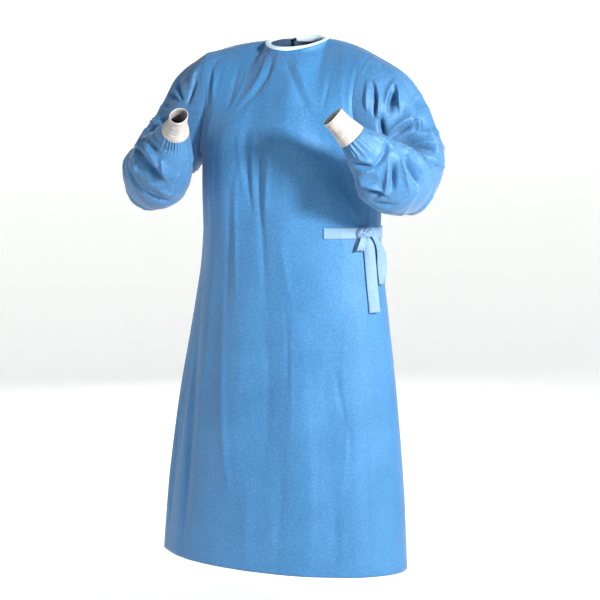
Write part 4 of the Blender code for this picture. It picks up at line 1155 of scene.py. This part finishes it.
def armhole_edge(side):
    """The panels' points round an armhole, from under the arm up the front and down the back."""
    column, back = (-1, "back_left") if side == "left" else (0, "back_right")
    front_edge = PANELS["front_panel"]["points"][FINE_UNDERARM:, column]
    back_edge = PANELS[back]["points"][FINE_UNDERARM:, column]
    return np.concatenate((front_edge, back_edge[-2:0:-1]))


def coarse_armhole(side):
    """The armhole at the solids' own points."""
    picks = np.concatenate(([0], np.cumsum(ROW_STEPS[UNDERARM_ROW:])))
    edge = armhole_edge(side)
    half = len(edge) // 2
    rising = edge[picks]
    falling = np.concatenate((edge[half:], edge[:1]))[::-1][picks]
    return np.concatenate((rising, falling[-2:0:-1]))


def build_sleeve(side):
    edge, armhole = armhole_edge(side), coarse_armhole(side)
    if side == "right":
        edge, armhole = mirrored(edge), mirrored(armhole)
    coarse = sleeve_grid(side, armhole)
    yoke_steps = ROW_STEPS[UNDERARM_ROW:]
    around_steps = [*yoke_steps, *yoke_steps[::-1]]
    fine = resample(coarse, [FINE_RINGS] * SLEEVE_ROWS)
    fine = resample(fine.transpose(1, 0, 2), around_steps, closed=True).transpose(1, 0, 2)
    fade = 1 - soft(np.arange(len(fine)) / (JOINED_ROWS * FINE_RINGS))
    fine = fine + (edge - fine[0])[None] * fade[:, None, None]
    angles = resample(np.append(sleeve_angles(), 270.0)[:, None], around_steps)[:-1, 0]
    stations = np.linspace(0, 1, len(fine))
    around = np.broadcast_to(angles, fine.shape[:2])
    sheet = new_sheet(fine, around, stations, -1, closed=True)
    turns, down = (angles[None, :] + 90) / 360, stations[:, None] * SLEEVE_LENGTH
    sheet["flat"] = paired(np.radians(angles) * SLEEVE_RADIUS, down)
    extra = 0
    for waves, across, rise, seed in SLEEVE_WRINKLES:
        seed = seed + RIGHT_SEEDS * (side == "right")
        extra = extra + wrinkle(turns * waves, down * across, seed, waves) * rise
    crumpled = sum(bell(stations - middle, reach) for middle, reach in CRUMPLED)
    extra = extra * (soft(stations / WRINKLES_FULL) * (CRUMPLED_REST + crumpled))[:, None]
    top_fade, wrist_fade = FINE_FADES
    ends = soft(stations / top_fade) * soft((1 - stations) / wrist_fade)
    fine = creased(sheet, FINE_SLEEVE[side], ends[:, None], extra)
    round_it, along, seed, size = GATHER_SWAY
    sway = cloud(turns * round_it, stations[:, None] * along, seed, round_it) * size
    waves = 0.5 - np.abs(np.sin(np.pi * turns * GATHER_WAVES + sway)) ** GATHER_SHARP
    round_it, seed, least, more = GATHER_UNEVEN
    drawn_in = least + more * cloud(turns * round_it, down * 0, seed, round_it)
    drawn_in = soft((stations - GATHER_START) / GATHER_RUN)[:, None] * drawn_in
    sheet["points"] = fine + sheet["normals"] * (waves * drawn_in * GATHER_DEPTH * 2)[..., None]
    if side == "right":
        sheet["points"], sheet["normals"] = map(mirrored, (sheet["points"], sheet["normals"]))
    return sheet


SLEEVES = {side: build_sleeve(side) for side in ("left", "right")}
shells = {}
for name, sheet in PANELS.items():
    shells[name] = dipped(sheet, seam_distance(sheet["points"], LAYOUTS[name][-1]))
    shape = dict(flip=name != "front_panel")
    piece = add_piece(name, shells[name], sheet["flat"], GOWN_BLUE, "gown_blue", **shape)
    thicken(piece, CLOTH, GOWN_INSIDE_SHADE)
for side, sheet in SLEEVES.items():
    points, shape = dipped(sheet, walked(sheet["points"])), dict(closed=True, flip=side == "left")
    piece = add_piece(f"sleeve_{side}", points, sheet["flat"], SLEEVE_SHADED_BLUE, "gown_blue", **shape)
    thicken(piece, CLOTH, GOWN_INSIDE_SHADE)

# ---- cuffs

CUFF_RIB_COUNT = 64
CUFF_RIB_POINTS = 5
CUFF_RIB_HEIGHT = 0.00040
CUFF_WALL = 0.0020
CUFF_OUTER_ROWS = 54
CUFF_INNER_ROWS = 12
CUFF_LIP_ROWS = 6
CUFF_WHITE_INSIDE_ROWS = 1  # below these the tube lies in its own shade
SEAM_GAP = 0.0003  # between the sleeve and the cuff
CUFF_SPREAD = 1.6  # how much sooner than its mouth it is drawn in
CUFF_BUNCH = (3, 11.0, 83, 0.0006)  # small wrinkles round it and along it, their seed and rise
CUFF_WAVES = (5, 3.3, 81)  # of its mouth, where in their cloud, and their seed
CUFF_CREASE_FORM = (0.02, 9, 1.2)  # how far and how variously its creases wave, how crisp they are
CUFF_RIB_SHARES = (0.7, 0.3, 0.10)  # at the seam and beyond, and where that starts
CUFF_INSIDE_RIBS = (0.2, 0.15)  # at the folded mouth and inside
CUFF_LIP = 0.6  # how far the mouth stands past the end, as a share of the wall
CUFF_CREASES = {
    # degrees from the crook side, share of the length, half width, half height, depth in mm
    "left": (
        (150, 0.30, 70, 0.030, -0.7),
        (60, 0.55, 50, 0.030, -0.6),
        (200, 0.72, 60, 0.035, -0.6),
    ),
    "right": (
        (120, 0.20, 90, 0.030, -2.2),
        (170, 0.33, 80, 0.028, -2.5),
        (100, 0.44, 70, 0.026, -2.0),
        (190, 0.55, 80, 0.028, -2.4),
        (130, 0.66, 90, 0.028, -2.0),
        (180, 0.78, 70, 0.028, -1.6),
    ),
}
CUFF_NARROWS = {"left": 0.03, "right": 0.13}  # how much of its radius the knit draws in
CUFF_MOUTH_WAVE = {"left": 0.0012, "right": 0.0022}


def build_cuff(side):
    """A tube of rib knit, folded in at the mouth, as one closed wall."""
    middle, run, crook, across = sleeve_frame(side, 1.0)
    right, count = side == "right", CUFF_RIB_COUNT * CUFF_RIB_POINTS
    degrees = np.linspace(-90, 270, count, endpoint=False)
    angles = np.radians(degrees)
    directions = np.cos(angles)[:, None] * crook + np.sin(angles)[:, None] * across
    ribs = CUFF_RIB_HEIGHT * np.cos(CUFF_RIB_COUNT * angles)
    to_crook, to_side = CUFF_MOUTH[side]
    mouth = np.hypot(to_crook * np.cos(angles), to_side * np.sin(angles))
    turns = (degrees + 90) / 360
    waves, row, seed = CUFF_WAVES
    wave = cloud(turns * waves, np.full(count, row), seed + right, waves) * CUFF_MOUTH_WAVE[side]

    def ring(share, inside, rib_share):
        radius = CUFF_BASE_RADIUS + (mouth - CUFF_BASE_RADIUS) * ease(share)
        radius = radius * (1 - CUFF_NARROWS[side] * ease(share * CUFF_SPREAD)) + ribs * rib_share
        bow = math.sin(math.pi * min(share, 1))
        round_it, along, seed, rise = CUFF_BUNCH
        bunch = wrinkle(turns * round_it, np.full(count, share * along), seed + right, round_it)
        radius = radius - CUFF_WAIST * bow + rise * bunch * bow
        size, step, sharp = CUFF_CREASE_FORM
        for turn, place, wide, tall, depth in CUFF_CREASES[side]:
            off = (degrees - turn + 180) % 360 - 180
            lean = (share - place - size * np.sin(angles * 2 + place * step)) / tall
            radius = radius + depth / 1000 * np.exp(-((off / wide) ** 2) - np.abs(lean) ** sharp)
        centre = middle + run * (SEAM_GAP + CUFF_LENGTH * share)
        return centre + directions * (radius - inside)[:, None] + run * (wave * share**3)[:, None]

    more, least, reach = CUFF_RIB_SHARES
    shares = np.linspace(0, 1, CUFF_OUTER_ROWS + 1)
    rows = [ring(share, 0.0, ease((1 - share) / reach) * more + least) for share in shares]
    at_mouth, inside = CUFF_INSIDE_RIBS
    for turn in np.radians(np.linspace(0, 180, CUFF_LIP_ROWS + 2)[1:-1]):
        round_over = 1 + CUFF_WALL * CUFF_LIP * math.sin(turn) / CUFF_LENGTH
        rows.append(ring(round_over, CUFF_WALL * (1 - math.cos(turn)) / 2, at_mouth))
    rows += [ring(share, CUFF_WALL, inside) for share in np.linspace(1, 0, CUFF_INNER_ROWS + 1)]
    points = np.array([*rows, rows[0]])
    flat = paired(angles * CUFF_BASE_RADIUS, walked(points).mean(1)[:, None])
    return (mirrored(points) if right else points), flat


for side in ("left", "right"):
    points, flat = build_cuff(side)
    shape, wide = dict(closed=True, flip=side == "right"), points.shape[1]
    mesh = add_piece(f"cuff_{side}", points, flat, CUFF_WHITE, "cuff_white", "knit", **shape).data
    finish_ends(mesh, wide, cap=False)
    # Past the first rows inside, the tube takes the grey painted shade.
    mesh.materials.append(CUFF_INSIDE_SHADE)
    for face in mesh.polygons:
        row = face.index // wide
        face.material_index = int(row > CUFF_OUTER_ROWS + CUFF_LIP_ROWS + CUFF_WHITE_INSIDE_ROWS)

# ---- neck binding

BINDING_PROFILE = (
    # out from the cloth and past its edge, in metres, and the share from lower to upper edge
    (0.0005, 0.0, 0.00),
    (0.0015, 0.0, 0.01),
    (0.0019, 0.0, 0.12),
    (0.0014, 0.0, 0.20),
    (0.0020, 0.0, 0.30),
    (0.0023, 0.0, 0.60),
    (0.0021, 0.0, 0.90),
    (0.0017, 0.0010, 1.0),
    (0.0007, 0.0019, 1.0),
    (-0.0008, 0.0021, 1.0),
    (-0.0022, 0.0015, 1.0),
    (-0.0031, 0.0003, 1.0),
    (-0.0033, 0.0, 0.70),
    (-0.0033, 0.0, 0.20),
    (-0.0029, 0.0, 0.02),
    (-0.0020, 0.0, 0.00),
    (-0.0016, 0.0, 0.30),
    (-0.0014, 0.0, 0.90),
    (-0.0004, 0.0006, 1.0),
    (0.0004, 0.0, 0.90),
    (0.0004, 0.0, 0.30),
)
BINDING_STEP = 3  # every so many columns of the cloth
BINDING_SMOOTH = 3  # how often its course is smoothed
BINDING_RIPPLE = (0.45, 91, 0.00025)  # how fast it comes, its seed and its rise
BINDING_FACE = 5  # the row of its profile whose length is its own
BINDING_FLAT = 0.0012  # from row to row of its profile


def neck_places():
    """The cloth's edge and the binding's lower edge, with their normals, from end to end."""
    half, neck, fine = HALF_COLUMNS, NECK_COLUMNS, FINE_COLUMNS
    stretches = (
        ("back_right", range((half + WRAP_COLUMNS) * fine, (half - neck) * fine, -1)),
        ("front_panel", range((half - neck) * fine, (half + neck) * fine + 1)),
        ("back_left", range((UNDERLAP_COLUMNS + neck) * fine - 1, -1, -1)),
    )
    corners = {(half - neck) * fine: -1, (half + neck) * fine: 1}
    places = []
    for name, columns in stretches:
        points, facing = PANELS[name]["points"], PANELS[name]["normals"]
        for column in columns:
            top, out = points[-1, column], facing[-1, column]
            low, low_out = points[-1 - FINE_BAND, column], facing[-1 - FINE_BAND, column]
            if name == "front_panel" and column in corners:
                low, low_out = top + shoulder_run(corners[column]) * BINDING_WIDTH, out
            places.append((top, out, low, low_out))
    return np.array(places)


def build_binding():
    places = neck_places()
    for _ in range(BINDING_SMOOTH):
        places[1:-1] = places[1:-1] * 0.5 + (places[:-2] + places[2:]) * 0.25
    top, out, low, low_out = places[::BINDING_STEP].transpose(1, 0, 2)
    out, low_out, over = unit(out), unit(low_out), unit(top - low)
    pace, seed, size = BINDING_RIPPLE
    ripple = cloud(np.arange(len(top)) * pace, np.zeros(len(top)), seed)[:, None]
    columns = []
    for rise, past, share in BINDING_PROFILE:
        lift = rise + size * ripple * (rise > TINY)
        facing = unit(low_out * (1 - share) + out * share)
        columns.append(low + (top - low) * share + facing * lift + over * past)
    return np.array(columns).transpose(1, 0, 2)


ring = build_binding()
flat = paired(np.arange(ring.shape[1]) * BINDING_FLAT, walked(ring[:, BINDING_FACE])[:, None])
piece = add_piece("neck_binding", ring, flat, BINDING, "binding_white", closed=True)
finish_ends(piece.data, ring.shape[1], cap=True)

# ---- ties

TIE_WALL = 0.0009
TIE_ROWS = 12
BACK_TIE_SEWN_COLUMNS = 2
FRONT_TIE_LIFTS = (0.0005,)
BACK_TIE_LIFTS = (
    *(0.0006, 0.0008, 0.0011, 0.0015, 0.0018, 0.0022, 0.0028, 0.0037, 0.0050),
    *(0.0006, 0.0006, 0.0006),
)
TIE_HEM = (0.0004, 0.90, 0.07)  # its rise, its place across and its reach
TIE_SAG = (0.0007, 0.16, 0.7, 3, 95)  # its rise, pace along and across, place in its cloud, seed
TIE_END = (0.0010, 0.004)  # rise and reach of the turned end
TAIL_HEM = (0.0004, 0.88, 0.08)
TAIL_SAG = (0.0009, 0.8, 5, 5, 97)  # its rise, pace across, place, pace along, seed
TAIL_POINTS = 15  # across
TAIL_CURL = (0.3, 0.8, 7)  # its mean, how much it varies, and how fast
TAIL_PINCH = (0.0018, 5, 9)  # of the end at the knot: rise, how soon it is over, and its folds
TAILS = {
    # rows, steps, curl
    "front_tail": (FRONT_TAIL, 90, 0.0014),
    "side_tail": (SIDE_TAIL, 70, -0.0022),
    "bow_loop": (LOOP, 80, 0.0010),
}
FORM_STEP = 0.004  # to either side, for the direction of the plain form


def tie_band(name, columns):
    """The cloth under a tie and its normals, between its edges, over fine columns of a panel."""
    rows = np.linspace(FINE_TIE, FINE_TIE + FINE_CHEST, TIE_ROWS + 1)
    low = rows.astype(int)
    share = (rows - low)[:, None, None]
    found = []
    for values in (shells[name], PANELS[name]["normals"]):
        upper = values[np.minimum(low + 1, len(values) - 1)][:, columns]
        found.append(values[low][:, columns] * (1 - share) + upper * share)
    return found


def tie_strip(node, parts, lifts):
    base, facing = (np.concatenate(kind, axis=1) for kind in zip(*parts))
    count = base.shape[1]
    across = np.linspace(-1, 1, TIE_ROWS + 1)[:, None]
    lift = np.interp(np.linspace(0, 1, count), np.linspace(0, 1, len(lifts)), lifts)[None, :]
    rise, middle, reach = TIE_HEM
    hem = rise * bell(np.abs(across) - middle, reach)
    rise, pace, pace_across, place, seed = TIE_SAG
    sag = rise * np.abs(cloud(np.arange(count)[None, :] * pace, across * pace_across + place, seed))
    walk = walked(base[0])
    rise, reach = TIE_END
    end = rise * bell(walk, reach)
    points = base + unit(facing) * (lift + hem + sag + end + TIE_WALL)[..., None]
    flat = paired(walk, across * TIE_WIDTH / 2)
    thicken(add_piece(node, points, flat, TIE_BLUE, "tie_blue"), TIE_WALL)


def backwards(start, end):
    """Fine columns from one coarse column back to another."""
    return np.arange(start * FINE_COLUMNS, end * FINE_COLUMNS - 1, -1)


first = (HALF_COLUMNS + TIE_LEFT_COLUMN) * FINE_COLUMNS
last = (HALF_COLUMNS + TIE_KNOT_COLUMN) * FINE_COLUMNS
tie_strip("front_tie", [tie_band("front_panel", slice(first, last + 1))], FRONT_TIE_LIFTS)
first_clear = math.ceil(row_at(WRAP_EDGE, TIE_HEIGHT)[1] * HALF_COLUMNS)
stretches = (
    ("front_panel", slice(last + FINE_COLUMNS, 2 * HALF_COLUMNS * FINE_COLUMNS)),
    ("back_left", backwards(UNDERLAP_COLUMNS + HALF_COLUMNS, UNDERLAP_COLUMNS + first_clear)),
    (
        "back_right",
        backwards(HALF_COLUMNS + WRAP_COLUMNS, HALF_COLUMNS + WRAP_COLUMNS - BACK_TIE_SEWN_COLUMNS),
    ),
)
tie_strip("back_tie", [tie_band(*stretch) for stretch in stretches], BACK_TIE_LIFTS)


def over_front(along, height, lift):
    """A point at lift from the panels' plain form, along the waist from the knot's middle."""
    _, half_width, depth, *_ = row_at(TORSO_SECTIONS, TIE_HEIGHT)
    quarter = (half_width + depth) / 2 * math.pi / 2
    across = (TIE_KNOT_COLUMN + 0.5) / HALF_COLUMNS + along / quarter
    face = -1
    if across > 1:
        across, face = 2 - across, 1
    point, step = torso_point(across, height, face), FORM_STEP
    sideways = torso_point(across + step, height, face) - torso_point(across - step, height, face)
    upwards = torso_point(across, height + step, face) - torso_point(across, height - step, face)
    return point - unit(np.cross(sideways, upwards)) * face * lift


def ribbon(node, rows, steps, curl):
    """A folded strip of tie cloth along a path, with its hems and a soft curl across it."""
    table = [(index, *row) for index, row in enumerate(rows)]
    samples = [row_at(table, station)[1:] for station in np.linspace(0, len(rows) - 1, steps + 1)]
    path = np.array([over_front(along, TIE_HEIGHT + up, lift) for along, up, lift, _, _ in samples])
    across = np.linspace(-1, 1, TAIL_POINTS)
    mean, more, curl_pace = TAIL_CURL
    pinch, over_by, folds = TAIL_PINCH
    hem, middle, reach = TAIL_HEM
    rise, pace_across, place, pace, seed = TAIL_SAG
    hems = hem * bell(np.abs(across) - middle, reach)
    points = []
    for step, (point, run) in enumerate(zip(path, unit(np.gradient(path, axis=0)))):
        share, (turn, width) = step / steps, samples[step][3:]
        level = np.array((math.cos(math.radians(turn)), math.sin(math.radians(turn)), 0))
        side = unit(level - run * (run @ level))
        bend = curl * (across**2 - mean) * (1 + more * math.sin(share * curl_pace))
        bend = bend + pinch * ease(1 - share * over_by) * np.cos(across * folds) + hems
        sag = cloud(across * pace_across + place, np.full(TAIL_POINTS, share * pace), seed)
        out = np.cross(side, run) * (bend + rise * sag)[:, None]
        points.append(point + side * (across * width / 2)[:, None] + out)
    flat = paired(across * TIE_WIDTH / 2, walked(path)[:, None])
    thicken(add_piece(node, np.array(points), flat, TIE_BLUE, "tie_blue"), TIE_WALL, offset=0.0)


for node, tail in TAILS.items():
    ribbon(node, *tail)

# ---- knot

KNOT_RINGS = 30
KNOT_SPOKES = 84
KNOT_FOLDS = (
    # turn in degrees, then offset, half width and rise as shares of the knot's half size
    (52, -0.42, 0.16, -0.26),
    (46, 0.10, 0.12, -0.22),
    (60, 0.52, 0.14, -0.20),
    (-38, 0.30, 0.15, -0.20),
    (-28, -0.55, 0.14, -0.18),
    (50, -0.16, 0.10, 0.12),
    (56, 0.32, 0.10, 0.12),
)
KNOT_FULLNESS = (1.30, 1.25, 1.15)
KNOT_LIFT = 0.0012
KNOT_OUTLINE = (0.10, 0.59, 0.05)  # how long it is, which way that turns, and how square
KNOT_FOLD_BEND, KNOT_FOLD_SHARP = 0.12, 1.3
KNOT_RIM_FOLDS = 0.35  # the share of a fold's rise that is left at the rim
KNOT_RIM_SWELL = 0.4  # how far the folds swell it sideways
KNOT_FLAT = (0.09, 0.02)


def build_knot():
    """A small tight knot, whose folds run across each other."""
    rows, columns = (FINE_TIE, FINE_TIE + FINE_CHEST), (last, last + FINE_COLUMNS)
    corner = shells["front_panel"][np.ix_(rows, columns)]
    along = unit((corner[:, 1] - corner[:, 0]).mean(0))
    up = unit((corner[1] - corner[0]).mean(0))
    out = unit(np.cross(along, up))
    up = np.cross(out, along)
    centre = corner.mean((0, 1)) + out * KNOT_LIFT
    wide, tall, deep = (size * share for size, share in zip(KNOT_SIZE, KNOT_FULLNESS))
    turns = np.linspace(0, 2 * math.pi, KNOT_SPOKES, endpoint=False)
    longer, lean, square = KNOT_OUTLINE
    outline = 1 + longer * np.cos(2 * turns - lean) - square * np.cos(4 * turns)
    rings = []
    for tilt in np.linspace(0, math.pi / 2, KNOT_RINGS + 1):
        reach = math.sqrt(max(math.cos(tilt), 0)) * outline
        x, y, z = reach * np.cos(turns), reach * np.sin(turns), math.sin(tilt)
        swell = np.ones(KNOT_SPOKES)
        for turn, offset, width, rise in KNOT_FOLDS:
            sine, cosine = math.sin(math.radians(turn)), math.cos(math.radians(turn))
            line = -x * sine + y * cosine - offset + KNOT_FOLD_BEND * (x * cosine) ** 2
            fold = rise * np.exp(-(np.abs(line / width) ** KNOT_FOLD_SHARP))
            swell = swell + fold * (KNOT_RIM_FOLDS + (1 - KNOT_RIM_FOLDS) * z)
        sideways = 1 - KNOT_RIM_SWELL + KNOT_RIM_SWELL * swell
        rings.append(
            centre
            + along * (wide / 2 * x * sideways)[:, None]
            + up * (tall / 2 * y * sideways)[:, None]
            + out * (deep * z * swell)[:, None]
        )
    return np.array(rings)


knot = build_knot()
flat_wide, flat_long = KNOT_FLAT
spokes, rings = np.linspace(0, flat_wide, KNOT_SPOKES), np.linspace(0, flat_long, len(knot))
add_piece("knot", knot, paired(spokes, rings[:, None]), TIE_BLUE, "tie_blue", closed=True)

# ---- the cut of each sheet of cloth

CUTS = {
    # width and length in metres, area where it is no rectangle, how it is held, what carries it
    "front_panel": (0.76, 1.29, 0.74, "hung", ("back_left", "back_right")),
    "back_left": (0.44, 1.27, 0.43, "hung", ("front_panel",)),
    "back_right": (0.65, 1.27, 0.61, "hung", ("front_panel",)),
    "sleeve_left": (0.61, 0.68, 0.22, "gathered", ("front_panel", "back_left")),
    "sleeve_right": (0.61, 0.69, 0.22, "gathered", ("front_panel", "back_right")),
    "cuff_left": (0.195, 0.062, None, "stretched", ("sleeve_left",)),
    "cuff_right": (0.195, 0.062, None, "stretched", ("sleeve_right",)),
    "neck_binding": (0.53, 0.025, None, "folded", ("front_panel", "back_left", "back_right")),
    "front_tie": (0.090, 0.025, None, "laid", ("front_panel",)),
    "back_tie": (0.245, 0.025, None, "laid", ("front_panel", "back_right")),
    "front_tail": (0.025, 0.180, None, "hung", ("knot",)),
    "side_tail": (0.025, 0.125, None, "hung", ("knot",)),
    "bow_loop": (0.025, 0.072, 0.0014, "folded", ("knot",)),
}
for name, (width, length, area, held, carriers) in CUTS.items():
    piece, flat = pieces[name], (width, length)

# ---- floor, light and camera

FLOOR_HEIGHT = -1.46
FLOOR_REACH = 4.6
COVE = 1.6
WALL_HEIGHT = 5.0
FLOOR_RINGS = 12
FLOOR_SPOKES = 72
FLOOR_SHADE = {
    "Base Color": (0.88, 0.87, 0.855, 1),
    "Roughness": 0.9,
    "Emission Color": (0.93, 0.98, 1.0, 1),
    "Emission Strength": 0.32,
}
ROOM_LIGHT = {"Color": (0.64, 0.90, 1.0, 1), "Strength": 0.06}
LIGHTS = {
    # place, aim, size, power, colour
    "key": ((2.10, -1.28, 0.24), (0, -0.05, 0.35), 0.34, 146, (1.0, 0.94, 0.89)),
    "fill": ((0.7, -2.4, 1.9), (0.1, -0.1, -0.05), 1.0, 9, (0.92, 0.97, 1.0)),
    "back": ((-1.8, 2.8, 0.8), (0, 0.1, -0.5), 0.5, 84, (1.0, 0.98, 0.96)),
}
CAMERA_AZIMUTH = 24.0
CAMERA_DISTANCE = 3.7
CAMERA_HEIGHT = -0.20
CAMERA_PITCH = 6.3
CAMERA_LENS = 94.44
CAMERA_SENSOR = 36.0
CAMERA_SHIFT = 0.0028


def build_stage():
    """A pale round floor that runs up into a wall all round, in one curve."""
    profile = [(run, 0.0) for run in np.linspace(TINY, FLOOR_REACH, FLOOR_RINGS)]
    for turn in np.linspace(0, math.pi / 2, FLOOR_RINGS)[1:]:
        profile.append((FLOOR_REACH + COVE * math.sin(turn), COVE * (1 - math.cos(turn))))
    run, rise = np.array([*profile, (FLOOR_REACH + COVE, WALL_HEIGHT)]).T[:, :, None]
    turns = np.linspace(0, 2 * math.pi, FLOOR_SPOKES, endpoint=False)
    level = run * np.cos(turns), run * np.sin(turns), FLOOR_HEIGHT + rise
    points = np.stack(np.broadcast_arrays(*level), -1)
    mesh = grid_mesh("studio_floor", points, np.zeros((*points.shape[:2], 2)), closed=True)
    mesh.materials.append(Nodes("studio_white").shade(FLOOR_SHADE))
    floor = placed("studio_floor", mesh)


def look_along(thing, way):
    thing.rotation_mode = "QUATERNION"
    thing.rotation_quaternion = way.to_track_quat("-Z", "Y")


def build_lights():
    world = bpy.data.worlds.new("studio")
    bpy.context.scene.world = world
    world.use_nodes = True
    for key, value in ROOM_LIGHT.items():
        world.node_tree.nodes["Background"].inputs[key].default_value = value
    for name, (place, aim, size, power, colour) in LIGHTS.items():
        lamp = bpy.data.lights.new(name, "AREA")
        lamp.shape = "DISK"
        lamp.size, lamp.energy, lamp.color = size, power, colour
        holder = placed(name, lamp)
        holder.location = place
        look_along(holder, Vector(aim) - Vector(place))


def build_camera():
    away, pitch = math.radians(CAMERA_AZIMUTH), math.radians(CAMERA_PITCH)
    level = Vector((-math.sin(away), math.cos(away), 0))
    data = bpy.data.cameras.new("camera")
    data.lens, data.sensor_width, data.shift_x = CAMERA_LENS, CAMERA_SENSOR, CAMERA_SHIFT
    camera = placed("camera", data)
    camera.location = -level * CAMERA_DISTANCE + Vector((0, 0, CAMERA_HEIGHT))
    look_along(camera, level * math.cos(pitch) + Vector((0, 0, -math.sin(pitch))))
    bpy.context.scene.camera = camera


build_stage()
build_lights()
build_camera()
bpy.context.scene.view_settings.view_transform = "Standard"
